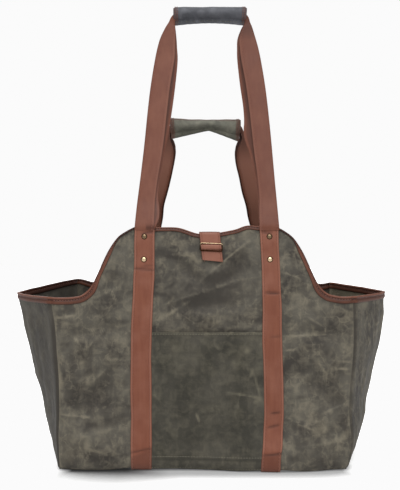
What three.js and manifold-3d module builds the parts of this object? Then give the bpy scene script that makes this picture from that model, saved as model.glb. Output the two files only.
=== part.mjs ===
// A log carrier: an open waxed-canvas tote with leather straps, handles and rim binding.
// Millimetres, +Z up. The front faces -Y. The origin is on the floor under the middle of the bag.
import * as THREE from "three";
import { mergeVertices } from "three/addons/utils/BufferGeometryUtils.js";
import Module from "manifold-3d";

const wasm = await Module();
wasm.setup();

// Stock
const CANVAS = 1.6;
const STRAP_THICK = 2.6;
const STRAP_WIDE = 32;
const BINDING_THICK = 1.0;
const GAP = 0.4;

// Body
const BODY_X = 5; // the panels stand a little right of the middle of the gusset tips
const CORNER_TOP = 240; // half length of a panel at its shoulders
const CORNER_BOTTOM = 235;
const BOTTOM_HALF_DEPTH = 103;
const EDGE_RADIUS = 24; // the panels roll under on this radius
const BOTTOM_Z = STRAP_THICK + GAP + CANVAS / 2;
const ROLL_Z = BOTTOM_Z + EDGE_RADIUS;
const SEAM_SETBACK = 1.0; // each sheet stops this far short of a corner line
const FLOOR_SETBACK = { side: 0.6, end: 1.6 }; // the floor's edges from the sheets round it
const SHOULDER_Z = { front: 281, back: 296 };
const TIP_Z = 278.5;
const HUMP_X = 8;
const HUMP_TOP_RISE = 112;

// How far the front and back panels stand from the middle plane, by height
const PROFILE = [
  { z: ROLL_Z, depth: BOTTOM_HALF_DEPTH + EDGE_RADIUS },
  { z: 90, depth: 130.5 },
  { z: 180, depth: 130 },
  { z: 280, depth: 125 },
  { z: 340, depth: 117 },
  { z: 410, depth: 106 },
];

// The rim's rise above the shoulders, by distance from the hump's middle
const HUMP = [
  { reach: 0, rise: 104 },
  { reach: 50, rise: 108 },
  { reach: 80, rise: 111 },
  { reach: 100, rise: HUMP_TOP_RISE },
  { reach: 116, rise: 111 },
  { reach: 128, rise: 106 },
  { reach: 142, rise: 95 },
  { reach: 155, rise: 75 },
  { reach: 170, rise: 44 },
  { reach: 181, rise: 20.5 },
  { reach: 196, rise: 4 },
  { reach: 210, rise: 0 },
  { reach: 250, rise: 0 },
];

// How far the gusset's middle crease stands out from the corner line, by height
const GUSSET = [
  { z: BOTTOM_Z, out: 27 },
  { z: 25, out: 34 },
  { z: 60, out: 41 },
  { z: 95, out: 47 },
  { z: 130, out: 55 },
  { z: 165, out: 62.5 },
  { z: 200, out: 70 },
  { z: 235, out: 76 },
  { z: 300, out: 83 },
];
const GUSSET_CREASE_POWER = 1.25; // 1 is a sharp V, 2 a round bow
const GUSSET_SKEW = 5; // the left tip reaches out this much more than the right one

// Dents and soft folds of the panels: place, direction of the fold, half length, half width, depth inwards
const DENTS = [
  { face: -1, x: -176, z: 224, turn: 8, long: 60, wide: 13, deep: 5 },
  { face: -1, x: -170, z: 120, turn: 52, long: 70, wide: 20, deep: 6 },
  { face: -1, x: -196, z: 62, turn: -30, long: 45, wide: 18, deep: -4 },
  { face: -1, x: -150, z: 300, turn: 62, long: 34, wide: 14, deep: 4 },
  { face: -1, x: -18, z: 322, turn: -38, long: 42, wide: 15, deep: 4.5 },
  { face: -1, x: 54, z: 318, turn: 42, long: 44, wide: 15, deep: 5 },
  { face: -1, x: 14, z: 268, turn: 4, long: 70, wide: 14, deep: 4 },
  { face: -1, x: 186, z: 222, turn: -6, long: 56, wide: 13, deep: 5 },
  { face: -1, x: 196, z: 130, turn: -48, long: 66, wide: 20, deep: 6 },
  { face: -1, x: 178, z: 66, turn: 25, long: 46, wide: 18, deep: -4 },
  { face: 1, x: -176, z: 214, turn: -10, long: 62, wide: 15, deep: 5 },
  { face: 1, x: -182, z: 104, turn: 40, long: 66, wide: 20, deep: 6 },
  { face: 1, x: 8, z: 250, turn: 5, long: 80, wide: 17, deep: 6 },
  { face: 1, x: 30, z: 140, turn: -35, long: 70, wide: 22, deep: 7 },
  { face: 1, x: -30, z: 80, turn: 28, long: 54, wide: 20, deep: -4 },
  { face: 1, x: 186, z: 236, turn: 12, long: 58, wide: 14, deep: 5 },
  { face: 1, x: 184, z: 110, turn: -44, long: 64, wide: 20, deep: 6 },
];
const DENT_CLEAR = 10; // dents keep this far from straps and rims
const DENT_FADE = 26; // and grow to their full depth over this distance

// Leather straps on the panels
const STRAP_X = 10; // the middle between the two straps
const STRAP_HALF_TOP = 102;
const STRAP_HALF_BOTTOM = 107;
const STRAP_LIFT = CANVAS / 2 + GAP + STRAP_THICK / 2;
const STRAP_LIFT_AT_RIM = 4.0; // the strap climbs over the binding
const STRAP_CLIMB = { from: 340, to: 372 };
const STRAP_TOP_Z = 388.4;

// Pocket between the front straps
const POCKET_TOP_Z = 224;
const POCKET_EDGE_GAP = 0.6;
const POCKET_LIFT = CANVAS + POCKET_EDGE_GAP;
const POCKET_GAPE = 9; // the open edge bows out in the middle
const POCKET_GAPE_FROM_Z = 60;
const POCKET_HEM_ROW = 6; // no row of the patch lies closer than this to its top edge
const POCKET_SHARES = [-1, -0.7, -0.35, 0, 0.35, 0.7, 1]; // across the patch

// Rim binding, a leather strip folded over the canvas edge
const BINDING_HIGH = 10;
const BINDING_LIFT = 1.8; // middle of each leg from the canvas's middle
const BINDING_TOP = 0.9;
const BINDING_SETBACK = 3.6;

// Handles: each arm is the doubled strap, fold outwards, its two edges fanning apart on the inner side.
// Distances are from the handle's middle line. depth is the front layer's distance from the middle plane,
// open is how far the under layer stands off, and drop is how much lower the edges lie than the fold.
const ARM_LAYER = 1.15;
const ARM_LAYER_MID = 0.72;
const ARM_FOLD_ROUND = 0.6;
const FRONT_ARM = [
  { z: 390, depth: 113.5, fold: 118, edge: 86, under: 86, open: 0, drop: 0 },
  { z: 398, depth: 112.9, fold: 117.4, edge: 86.2, under: 86.2, open: 0, drop: 0 },
  { z: 418, depth: 106, fold: 116, edge: 86.4, under: 85, open: 1, drop: 0 },
  { z: 440, depth: 98, fold: 114.3, edge: 86.4, under: 82.6, open: 3, drop: 0 },
  { z: 473, depth: 89, fold: 111.3, edge: 84, under: 77.2, open: 5, drop: 0 },
  { z: 524, depth: 76, fold: 107, edge: 77.6, under: 67.8, open: 7, drop: 0 },
  { z: 594, depth: 59, fold: 101.3, edge: 71.1, under: 61.1, open: 8, drop: 0 },
  { z: 640, depth: 48, fold: 96.5, edge: 66, under: 56.5, open: 8, drop: 0 },
  { z: 682, depth: 38, fold: 90.4, edge: 59.5, under: 53.5, open: 7, drop: 0 },
  { z: 705, depth: 33, fold: 86, edge: 57.6, under: 54.5, open: 6, drop: 0 },
  { z: 722, depth: 29.5, fold: 81.5, edge: 57.5, under: 56, open: 5, drop: 0 },
  { z: 741, depth: 26, fold: 74.5, edge: 61, under: 61, open: 5, drop: 0 },
  { z: 750, depth: 24.5, fold: 70, edge: 62.5, under: 62.5, open: 5, drop: 3 },
  { z: 759, depth: 24, fold: 66.5, edge: 62, under: 62, open: 5, drop: 5 },
  { z: 766, depth: 24, fold: 60, edge: 57, under: 57, open: 5, drop: 8 },
  { z: 768.5, depth: 24, fold: 50, edge: 50, under: 50, open: 5, drop: 9 },
];
const BACK_ARM = [
  { z: 390, depth: 113.5, fold: 118, edge: 86, under: 86, open: 0, drop: 0 },
  { z: 398, depth: 112.9, fold: 118, edge: 86, under: 86, open: 0, drop: 0 },
  { z: 418, depth: 99.5, fold: 117, edge: 83.5, under: 79.5, open: 2, drop: 0 },
  { z: 444, depth: 82, fold: 112, edge: 78.4, under: 73, open: 4, drop: 0 },
  { z: 487, depth: 60, fold: 100.5, edge: 67.4, under: 62, open: 6, drop: 0 },
  { z: 525, depth: 42, fold: 92, edge: 60, under: 54.5, open: 7, drop: 0 },
  { z: 540, depth: 35, fold: 85, edge: 59, under: 55.5, open: 6, drop: 0 },
  { z: 550, depth: 30.5, fold: 78, edge: 61, under: 59.5, open: 5, drop: 0 },
  { z: 558, depth: 28, fold: 72, edge: 62.5, under: 62.5, open: 5, drop: 2 },
  { z: 567, depth: 27, fold: 68, edge: 62, under: 62, open: 5, drop: 5 },
  { z: 576, depth: 26, fold: 64, edge: 60, under: 60, open: 5, drop: 8 },
  { z: 581, depth: 26, fold: 57, edge: 55, under: 55, open: 5, drop: 8 },
  { z: 583, depth: 26, fold: 45, edge: 45, under: 45, open: 5, drop: 8 },
];
const HANDLES = [
  {
    name: "front",
    face: -1,
    arm: FRONT_ARM,
    gripShift: 6,
    grip: { top: 777, midHigh: 26.5, endHigh: 32, halfUpper: 63.3, halfLower: 59.5 },
  },
  {
    name: "back",
    face: 1,
    arm: BACK_ARM,
    gripShift: -2,
    grip: { top: 588.5, midHigh: 21.5, endHigh: 35, halfUpper: 64, halfLower: 60 },
  },
];
const GRIP_CENTRE_IN = 2.5; // the sleeve's middle from the strap's front layer

// Half section of the sleeve round a grip, from the sewn flange below to the top
const SLEEVE = [
  { breadth: 1.3, high: 0.02 },
  { breadth: 1.3, high: 0.17 },
  { breadth: 4.6, high: 0.25 },
  { breadth: 9.2, high: 0.42 },
  { breadth: 10.4, high: 0.63 },
  { breadth: 8.2, high: 0.85 },
  { breadth: 3.2, high: 0.97 },
];
const SLEEVE_STATIONS = [-1, -0.6, -0.2, 0.2, 0.6, 1];

// Closing tab and its three-bar slide
const TAB_X = 17;
const TAB_WIDE = 34;
const TAB_THICK = 1.8;
const SLIDE_Z = 360.5;
const SLIDE_LIFT = 6.3;
const SLIDE = { wide: 40, high: 14.4, bar: 2.3, side: 2.6, thick: 2, corner: 2 };
const TAB_LIFT = 3.9;
const TAB_OVER_BAR = 8.7;
const TAB_END_Z = 338.5;
const TAB_WEAVE = 3.05; // height above and below the middle bar where the tab crosses the windows
const TAB_BESIDE_SLIDE = 9; // the tab lies flat again this far from the middle bar
const TAB_INSIDE = 26; // length of the tab inside the bag
const TAB_OVER_RIM = { rise: 3.4, lift: 2.3 }; // the bend over the bound rim

// Rivets
const RIVET_SIDES = 10;
const RIVET_CAP = 4.5;
const RIVET_SHANK = 1.8;
const RIVET_HOLE = 2.3;
const RIVET_BURR = { radius: 3.6, thick: 1, gap: 0.4 };
const RIVET_SEAT_GAP = 0.3;
const RIVET_DOME = [
  { share: 1, rise: 0 },
  { share: 0.94, rise: 0.7 },
  { share: 0.6, rise: 1.7 },
  { share: 0, rise: 2.1 },
];
const DRILL_LONG = 24;
const RIVET_ROWS = [
  { name: "upper", z: 378 },
  { name: "lower", z: 341 },
];

// Rows of the panels: angles round the lower roll, then fractions of the height up to the rim
const ROLL_ANGLES = [0, 22.5, 45, 67.5, 90];
const PANEL_FRACTIONS = [0.09, 0.18, 0.28, 0.38, 0.48, 0.58, 0.68, 0.78, 0.87, 0.95, 1];
const GUSSET_STATIONS = [-1, -0.8, -0.6, -0.4, -0.22, -0.08, 0.08, 0.22, 0.4, 0.6, 0.8, 1];

const canvasMaterial = new THREE.MeshStandardMaterial({ color: "#5b574e", roughness: 0.8 });
const pocketMaterial = new THREE.MeshStandardMaterial({ color: "#4d4a42", roughness: 0.8 });
const gripMaterial = new THREE.MeshStandardMaterial({ color: "#535358", roughness: 0.85 });
const leatherMaterial = new THREE.MeshStandardMaterial({ color: "#815343", roughness: 0.5 });
const bindingMaterial = new THREE.MeshStandardMaterial({ color: "#725750", roughness: 0.55 });
const brassMaterial = new THREE.MeshStandardMaterial({ color: "#b98a52", roughness: 0.3, metalness: 1 });

const { clamp, degToRad, lerp, smoothstep } = THREE.MathUtils;

// A smooth function through a table's rows
function through(table, key, value) {
  const keys = table.map((row) => row[key]);
  const values = table.map((row) => row[value]);
  const curve = new THREE.CubicInterpolant(keys, values, 1);
  return (at) => curve.evaluate(clamp(at, keys[0], keys.at(-1)))[0];
}

const faceDepth = through(PROFILE, "z", "depth");
const humpRise = through(HUMP, "reach", "rise");
const creaseOut = through(GUSSET, "z", "out");
const gussetRim = through(
  [
    { v: -1, z: SHOULDER_Z.front },
    { v: 0, z: TIP_Z },
    { v: 1, z: SHOULDER_Z.back },
  ],
  "v",
  "z",
);

// Distance of a panel from the middle plane, also round the lower roll
function depthAt(z) {
  if (z >= ROLL_Z) return faceDepth(z);
  const down = Math.min(ROLL_Z - z, EDGE_RADIUS);
  return BOTTOM_HALF_DEPTH + Math.sqrt(EDGE_RADIUS ** 2 - down ** 2);
}

function cornerAt(z) {
  return lerp(CORNER_BOTTOM, CORNER_TOP, clamp(z / SHOULDER_Z.front, 0, 1));
}

function shoulderOf(face) {
  return face < 0 ? SHOULDER_Z.front : SHOULDER_Z.back;
}

function rimZ(face, x) {
  const shoulder = shoulderOf(face);
  const share = (SHOULDER_Z.front + HUMP_TOP_RISE - shoulder) / HUMP_TOP_RISE;
  return shoulder + share * humpRise(Math.abs(x - HUMP_X));
}

// Distance of a place on a panel from its rim, square to a sloping rim
function rimDistance(face, x, z) {
  const step = 2;
  const slope = (rimZ(face, x + step) - rimZ(face, x - step)) / (2 * step);
  return (rimZ(face, x) - z) / Math.hypot(1, slope);
}

function strapX(side, z) {
  return STRAP_X + side * lerp(STRAP_HALF_BOTTOM, STRAP_HALF_TOP, clamp(z / STRAP_TOP_Z, 0, 1));
}

// Point and outward direction on a panel's smooth face at a height
function faceFrame(face, x, z) {
  const step = 0.5;
  const rise = new THREE.Vector2(depthAt(z + step) - depthAt(z - step), 2 * step).normalize();
  return {
    point: new THREE.Vector3(x, face * depthAt(z), z),
    normal: new THREE.Vector3(0, face * rise.y, -rise.x),
    up: new THREE.Vector3(0, face * rise.x, rise.y),
  };
}

// Point and outward direction on the lower roll, by the angle from straight down
function rollFrame(face, x, degrees) {
  const angle = degToRad(degrees);
  const normal = new THREE.Vector3(0, face * Math.sin(angle), -Math.cos(angle));
  const centre = new THREE.Vector3(x, face * BOTTOM_HALF_DEPTH, ROLL_Z);
  return { point: centre.addScaledVector(normal, EDGE_RADIUS), normal };
}

// Depth of the dents at a place on a panel, none under straps, the pocket or along edges
function dentAt(face, x, z) {
  let keep = smoothstep(z, ROLL_Z, ROLL_Z + DENT_FADE);
  keep *= smoothstep(rimDistance(face, x, z), DENT_CLEAR, DENT_CLEAR + DENT_FADE);
  keep *= smoothstep(cornerAt(z) - Math.abs(x - BODY_X), 0, DENT_FADE);
  for (const side of [-1, 1]) {
    const off = Math.abs(x - strapX(side, z)) - STRAP_WIDE / 2;
    keep *= smoothstep(off, DENT_CLEAR, DENT_CLEAR + DENT_FADE);
  }
  if (face < 0 && Math.abs(x - STRAP_X) < STRAP_HALF_TOP) {
    keep *= smoothstep(z, POCKET_TOP_Z + DENT_CLEAR, POCKET_TOP_Z + DENT_CLEAR + DENT_FADE);
    const tabOff = Math.max(Math.abs(x - TAB_X) - TAB_WIDE / 2, TAB_END_Z - z);
    keep *= smoothstep(tabOff, 0, DENT_FADE);
  }
  let sum = 0;
  for (const dent of DENTS.filter((row) => row.face === face)) {
    const turn = degToRad(dent.turn);
    const along = (x - dent.x) * Math.cos(turn) + (z - dent.z) * Math.sin(turn);
    const across = (z - dent.z) * Math.cos(turn) - (x - dent.x) * Math.sin(turn);
    sum += dent.deep * Math.exp(-((along / dent.long) ** 2) - (across / dent.wide) ** 2);
  }
  return sum * keep;
}

// Outward directions of a grid of points, from the neighbours along its rows and columns
function gridNormals(grid) {
  return grid.map((row, i) =>
    row.map((_, j) => {
      const rowBefore = grid[Math.max(i - 1, 0)][j];
      const rowAfter = grid[Math.min(i + 1, grid.length - 1)][j];
      const before = row[Math.max(j - 1, 0)];
      const after = row[Math.min(j + 1, row.length - 1)];
      const along = rowAfter.clone().sub(rowBefore);
      const across = after.clone().sub(before);
      return across.cross(along).normalize();
    }),
  );
}

// A closed wall of even thickness round a grid of middle points
function wall(grid, thickness) {
  const normals = gridNormals(grid);
  const rows = grid.length;
  const columns = grid[0].length;
  const points = [];
  for (const side of [0.5, -0.5]) {
    grid.forEach((row, i) =>
      row.forEach((p, j) => points.push(p.clone().addScaledVector(normals[i][j], side * thickness))),
    );
  }
  const outer = (i, j) => i * columns + j;
  const inner = (i, j) => rows * columns + i * columns + j;
  const index = [];
  const quad = (a, b, c, d) => index.push(a, b, c, a, c, d);
  for (let i = 0; i + 1 < rows; i++) {
    for (let j = 0; j + 1 < columns; j++) {
      quad(outer(i, j), outer(i, j + 1), outer(i + 1, j + 1), outer(i + 1, j));
      quad(inner(i, j), inner(i + 1, j), inner(i + 1, j + 1), inner(i, j + 1));
    }
    quad(outer(i, 0), outer(i + 1, 0), inner(i + 1, 0), inner(i, 0));
    const last = columns - 1;
    quad(outer(i, last), inner(i, last), inner(i + 1, last), outer(i + 1, last));
  }
  for (let j = 0; j + 1 < columns; j++) {
    quad(outer(0, j), inner(0, j), inner(0, j + 1), outer(0, j + 1));
    const last = rows - 1;
    quad(outer(last, j), outer(last, j + 1), inner(last, j + 1), inner(last, j));
  }
  const geometry = new THREE.BufferGeometry().setFromPoints(points);
  geometry.setIndex(index);
  return facingOut(geometry);
}

// The same closed geometry with its faces turned outwards
function facingOut(geometry) {
  const position = geometry.getAttribute("position");
  const index = geometry.index.array;
  const corner = (n) => new THREE.Vector3().fromBufferAttribute(position, index[n]);
  let volume = 0;
  for (let n = 0; n < index.length; n += 3) {
    volume += corner(n).dot(corner(n + 1).cross(corner(n + 2)));
  }
  if (volume < 0) {
    for (let n = 0; n < index.length; n += 3) {
      [index[n + 1], index[n + 2]] = [index[n + 2], index[n + 1]];
    }
  }
  return geometry;
}

function solidOf(geometry) {
  const bare = geometry.clone();
  bare.deleteAttribute("normal");
  bare.deleteAttribute("uv");
  const merged = mergeVertices(bare, 1e-4);
  const mesh = new wasm.Mesh({
    numProp: 3,
    vertProperties: new Float32Array(merged.getAttribute("position").array),
    triVerts: new Uint32Array(merged.index.array),
  });
  return new wasm.Manifold(mesh);
}

function geometryOf(solid) {
  const mesh = solid.getMesh();
  const geometry = new THREE.BufferGeometry();
  geometry.setAttribute("position", new THREE.BufferAttribute(mesh.vertProperties, 3));
  geometry.setIndex(new THREE.BufferAttribute(mesh.triVerts, 1));
  return geometry;
}

const carrier = new THREE.Group();

function add(name, geometry, material) {
  const mesh = new THREE.Mesh(geometry, material);
  mesh.name = name;
  carrier.add(mesh);
  return mesh;
}

// Frame of the strap's middle on a panel: under the rim it climbs clear of the binding
function strapFrame(face, side, z) {
  const frame = faceFrame(face, strapX(side, z), z);
  const climb = smoothstep(z, STRAP_CLIMB.from, STRAP_CLIMB.to);
  frame.lift = lerp(STRAP_LIFT, STRAP_LIFT_AT_RIM, climb);
  return frame;
}

// Turns a piece made along +Z to lie along a direction, at a place
function placed(geometry, point, direction) {
  const turn = new THREE.Quaternion().setFromUnitVectors(new THREE.Vector3(0, 0, 1), direction);
  return geometry.applyQuaternion(turn).translate(point.x, point.y, point.z);
}

function rivetPlaces(face) {
  const places = [];
  for (const side of [-1, 1]) {
    for (const row of RIVET_ROWS) places.push({ side, row, frame: strapFrame(face, side, row.z) });
  }
  return places;
}

// Cuts the rivet holes that belong to a face, and to one side of it where a side is given
function drilled(geometry, face, onlySide) {
  let solid = solidOf(geometry);
  for (const { side, frame } of rivetPlaces(face)) {
    if (onlySide && side !== onlySide) continue;
    const drill = new THREE.CylinderGeometry(RIVET_HOLE, RIVET_HOLE, DRILL_LONG, RIVET_SIDES);
    drill.rotateX(Math.PI / 2);
    solid = solid.subtract(solidOf(placed(drill, frame.point, frame.normal)));
  }
  return geometryOf(solid);
}

// Places across a panel: its corners, and the hump's stations on both sides
function panelColumns() {
  const reaches = HUMP.slice(1, -1).map((row) => row.reach);
  const left = reaches.toReversed().map((reach) => HUMP_X - reach);
  const right = reaches.map((reach) => HUMP_X + reach);
  const corner = CORNER_TOP - SEAM_SETBACK;
  return [BODY_X - corner, ...left, HUMP_X, ...right, BODY_X + corner];
}

function panelX(column, z) {
  return BODY_X + ((column - BODY_X) * cornerAt(z)) / CORNER_TOP;
}

function panelRow(face, column, fraction) {
  const z = lerp(ROLL_Z, rimZ(face, column), fraction);
  const x = panelX(column, z);
  return new THREE.Vector3(x, face * (depthAt(z) - dentAt(face, x, z)), z);
}

function panelGrid(face) {
  const columns = panelColumns();
  const roll = ROLL_ANGLES.map((angle) =>
    columns.map((column) => rollFrame(face, panelX(column, 0), angle).point),
  );
  const upper = PANEL_FRACTIONS.map((fraction) =>
    columns.map((column) => panelRow(face, column, fraction)),
  );
  return [...roll, ...upper];
}

function gussetX(side, v, z) {
  const out = creaseOut(z) - side * GUSSET_SKEW * clamp(z / TIP_Z, 0, 1);
  const bow = 1 - Math.abs(v) ** GUSSET_CREASE_POWER;
  return BODY_X + side * (cornerAt(z) + out * bow);
}

function gussetPoint(side, v, z) {
  return new THREE.Vector3(gussetX(side, v, z), v * depthAt(z), z);
}

function gussetStations(setback) {
  const end = 1 - setback / PROFILE[0].depth;
  return GUSSET_STATIONS.map((v) => clamp(v, -end, end));
}

function gussetGrid(side) {
  const stations = gussetStations(SEAM_SETBACK);
  const rollHeights = ROLL_ANGLES.map((angle) => ROLL_Z - EDGE_RADIUS * Math.cos(degToRad(angle)));
  const roll = rollHeights.map((z) => stations.map((v) => gussetPoint(side, v, z)));
  const upper = PANEL_FRACTIONS.filter((_, n) => n % 2 === 0).map((fraction) =>
    stations.map((v) => gussetPoint(side, v, lerp(ROLL_Z, gussetRim(v), fraction))),
  );
  return [...roll, ...upper];
}

function bottomGrid() {
  const reach = BOTTOM_HALF_DEPTH - FLOOR_SETBACK.side;
  return GUSSET_STATIONS.map((v) =>
    [-1, 0, 1].map((side) => {
      const edge = side ? gussetX(side, v, BOTTOM_Z) - side * FLOOR_SETBACK.end : BODY_X;
      return new THREE.Vector3(edge, v * reach, BOTTOM_Z);
    }),
  );
}

// Channel sections along a rim: legs down both faces of the canvas edge and a bridge over it
function bindingGrid(rim, downs) {
  return rim.map((p, i) => {
    const before = rim[Math.max(i - 1, 0)];
    const after = rim[Math.min(i + 1, rim.length - 1)];
    const along = after.clone().sub(before).normalize();
    const down = downs[i].clone();
    down.addScaledVector(along, -down.dot(along)).normalize();
    const normal = along.clone().cross(down);
    const spot = (lift, drop) => p.clone().addScaledVector(normal, lift).addScaledVector(down, drop);
    return [
      spot(BINDING_LIFT, BINDING_HIGH),
      spot(BINDING_LIFT, -BINDING_TOP),
      spot(-BINDING_LIFT, -BINDING_TOP),
      spot(-BINDING_LIFT, BINDING_HIGH),
    ];
  });
}

function panelBinding(face) {
  const columns = panelColumns();
  const end = CORNER_TOP - BINDING_SETBACK;
  const places = columns.map((column) => clamp(column, BODY_X - end, BODY_X + end));
  const rim = places.map((column) => panelRow(face, column, 1));
  const downs = rim.map((p) => faceFrame(face, p.x, p.z).up.negate());
  return bindingGrid(rim, downs);
}

function gussetBinding(side) {
  const stations = gussetStations(BINDING_SETBACK);
  const rim = stations.map((v) => gussetPoint(side, v, gussetRim(v)));
  const downs = stations.map((v, i) => gussetPoint(side, v, gussetRim(v) - BINDING_HIGH).sub(rim[i]));
  return bindingGrid(rim, downs);
}

// A strap on a panel, from the rim down and round the lower roll
function strapGrid(face, side) {
  const heights = PANEL_FRACTIONS.map((f) => lerp(ROLL_Z, rimZ(face, strapX(side, STRAP_TOP_Z)), f));
  const frames = heights.map((z) => strapFrame(face, side, Math.min(z, STRAP_TOP_Z))).reverse();
  for (const angle of ROLL_ANGLES.toReversed()) {
    frames.push({ ...rollFrame(face, strapX(side, 0), angle), lift: STRAP_LIFT });
  }
  return frames.map(({ point, normal, lift }) =>
    [-0.5, 0.5].map((share) => {
      const middle = point.clone().addScaledVector(normal, lift);
      middle.x += share * STRAP_WIDE;
      return middle;
    }),
  );
}

function bottomStrapGrid(side) {
  const reach = BOTTOM_HALF_DEPTH - GAP;
  return [-reach, 0, reach].map((y) =>
    [-0.5, 0.5].map(
      (share) => new THREE.Vector3(strapX(side, 0) + share * STRAP_WIDE, y, STRAP_THICK / 2),
    ),
  );
}

// The pocket's patch between the front straps, its open edge bowed out
function pocketGrid() {
  const rimHigh = rimZ(-1, STRAP_X);
  const panelHeights = PANEL_FRACTIONS.map((fraction) => lerp(ROLL_Z, rimHigh, fraction));
  const heights = panelHeights.filter((z) => z < POCKET_TOP_Z - POCKET_HEM_ROW);
  const frames = ROLL_ANGLES.slice(2).map((angle) => ({ z: 0, ...rollFrame(-1, STRAP_X, angle) }));
  for (const z of [...heights, POCKET_TOP_Z]) frames.push({ z, ...faceFrame(-1, STRAP_X, z) });
  return frames.map(({ z, point, normal }) => {
    const left = strapX(-1, z) + STRAP_WIDE / 2 + POCKET_EDGE_GAP;
    const right = strapX(1, z) - STRAP_WIDE / 2 - POCKET_EDGE_GAP;
    return POCKET_SHARES.map((share) => {
      const gape = POCKET_GAPE * (1 - share ** 2) ** 2 * smoothstep(z, POCKET_GAPE_FROM_Z, POCKET_TOP_Z);
      const spot = point.clone().addScaledVector(normal, POCKET_LIFT + gape);
      spot.x = lerp(left, right, (share + 1) / 2);
      return spot;
    });
  });
}

// Middle line of the doubled strap's section: outer layer, fold, under layer
function armSection(face, side, shift, row) {
  const x = (distance) => STRAP_X + shift + side * distance;
  const spot = (distance, depth, z) => new THREE.Vector3(x(distance), face * (row.depth - depth), z);
  const low = row.z - row.drop;
  const flat = row.drop > 0 ? 0 : ARM_FOLD_ROUND;
  const sunk = ARM_FOLD_ROUND - flat;
  return [
    spot(row.edge, -ARM_LAYER_MID, low),
    spot(row.fold - flat, -ARM_LAYER_MID, row.z - sunk),
    spot(row.fold, 0, row.z),
    spot(row.fold - flat, ARM_LAYER_MID, row.z - sunk),
    spot(row.under, row.open + ARM_LAYER_MID, low),
  ];
}

function handleGrid({ face, arm, gripShift }) {
  const shiftAt = (z) => gripShift * smoothstep(z, arm[0].z, arm.at(-1).z);
  const half = (side) => arm.map((row) => armSection(face, side, shiftAt(row.z), row));
  return [...half(-1), ...half(1).reverse()];
}

// The canvas sleeve wrapped round a grip, its two edges meeting in a flange below
function sleeveGrid({ face, arm, gripShift, grip }) {
  const middle = face * (arm.at(-1).depth - GRIP_CENTRE_IN);
  const half = SLEEVE.map((row) => ({ ...row, breadth: -row.breadth }));
  const ring = [...half, ...SLEEVE.toReversed()];
  return SLEEVE_STATIONS.map((station) => {
    const high = lerp(grip.midHigh, grip.endHigh, station ** 2);
    return ring.map((row) => {
      const reach = station * lerp(grip.halfLower, grip.halfUpper, row.high);
      const z = grip.top - high * (1 - row.high);
      return new THREE.Vector3(STRAP_X + gripShift + reach, middle + row.breadth, z);
    });
  });
}

// The tab's route: up the inside, over the bound rim, down and woven through the slide
function tabGrid() {
  const route = [
    { aboveRim: -TAB_INSIDE, lift: -TAB_LIFT },
    { aboveRim: 0, lift: -TAB_LIFT },
    { aboveRim: TAB_OVER_RIM.rise, lift: -TAB_OVER_RIM.lift },
    { aboveRim: TAB_OVER_RIM.rise, lift: TAB_OVER_RIM.lift },
    { aboveRim: 0, lift: TAB_LIFT },
    { z: SLIDE_Z + TAB_BESIDE_SLIDE, lift: TAB_LIFT },
    { z: SLIDE_Z + TAB_WEAVE, lift: TAB_LIFT },
    { z: SLIDE_Z + TAB_WEAVE, lift: TAB_OVER_BAR },
    { z: SLIDE_Z - TAB_WEAVE, lift: TAB_OVER_BAR },
    { z: SLIDE_Z - TAB_WEAVE, lift: TAB_LIFT },
    { z: SLIDE_Z - TAB_BESIDE_SLIDE, lift: TAB_LIFT },
    { z: TAB_END_Z, lift: TAB_LIFT },
  ];
  return route.map(({ aboveRim, z, lift }) =>
    [-0.5, 0.5].map((share) => {
      const x = TAB_X + share * TAB_WIDE;
      const { point, normal } = faceFrame(-1, x, z ?? rimZ(-1, x) + aboveRim);
      return point.addScaledVector(normal, lift);
    }),
  );
}

function roundedRectangle(path, wide, high, corner) {
  const x = wide / 2;
  const y = high / 2;
  path.moveTo(-x + corner, -y);
  path.lineTo(x - corner, -y);
  path.absarc(x - corner, -y + corner, corner, -Math.PI / 2, 0);
  path.lineTo(x, y - corner);
  path.absarc(x - corner, y - corner, corner, 0, Math.PI / 2);
  path.lineTo(-x + corner, y);
  path.absarc(-x + corner, y - corner, corner, Math.PI / 2, Math.PI);
  path.lineTo(-x, -y + corner);
  path.absarc(-x + corner, -y + corner, corner, Math.PI, 1.5 * Math.PI);
  return path;
}

// Three-bar brass slide, flat, with two windows
function slideGeometry() {
  const shape = roundedRectangle(new THREE.Shape(), SLIDE.wide, SLIDE.high, SLIDE.corner);
  const window = { wide: SLIDE.wide / 2 - SLIDE.side, near: SLIDE.bar / 2, far: SLIDE.high / 2 - SLIDE.bar };
  for (const side of [-1, 1]) {
    const hole = new THREE.Path();
    hole.moveTo(-window.wide, side * window.near);
    hole.lineTo(window.wide, side * window.near);
    hole.lineTo(window.wide, side * window.far);
    hole.lineTo(-window.wide, side * window.far);
    hole.closePath();
    shape.holes.push(hole);
  }
  const settings = { depth: SLIDE.thick, bevelEnabled: false, curveSegments: 3 };
  const geometry = new THREE.ExtrudeGeometry(shape, settings);
  return geometry.translate(0, 0, -SLIDE.thick / 2).rotateX(Math.PI / 2);
}

// Domed cap outside the strap, shank through both sheets, burr washer inside
function rivetGeometry(lift) {
  const seat = lift + STRAP_THICK / 2 + RIVET_SEAT_GAP;
  const inside = -CANVAS / 2 - RIVET_BURR.gap;
  const profile = [
    [0, inside - RIVET_BURR.thick],
    [RIVET_BURR.radius, inside - RIVET_BURR.thick],
    [RIVET_BURR.radius, inside],
    [RIVET_SHANK, inside],
    [RIVET_SHANK, seat],
    ...RIVET_DOME.map(({ share, rise }) => [RIVET_CAP * share, seat + rise]),
  ].map(([radius, along]) => new THREE.Vector2(radius, along));
  return new THREE.LatheGeometry(profile, RIVET_SIDES).rotateX(Math.PI / 2);
}

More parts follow.
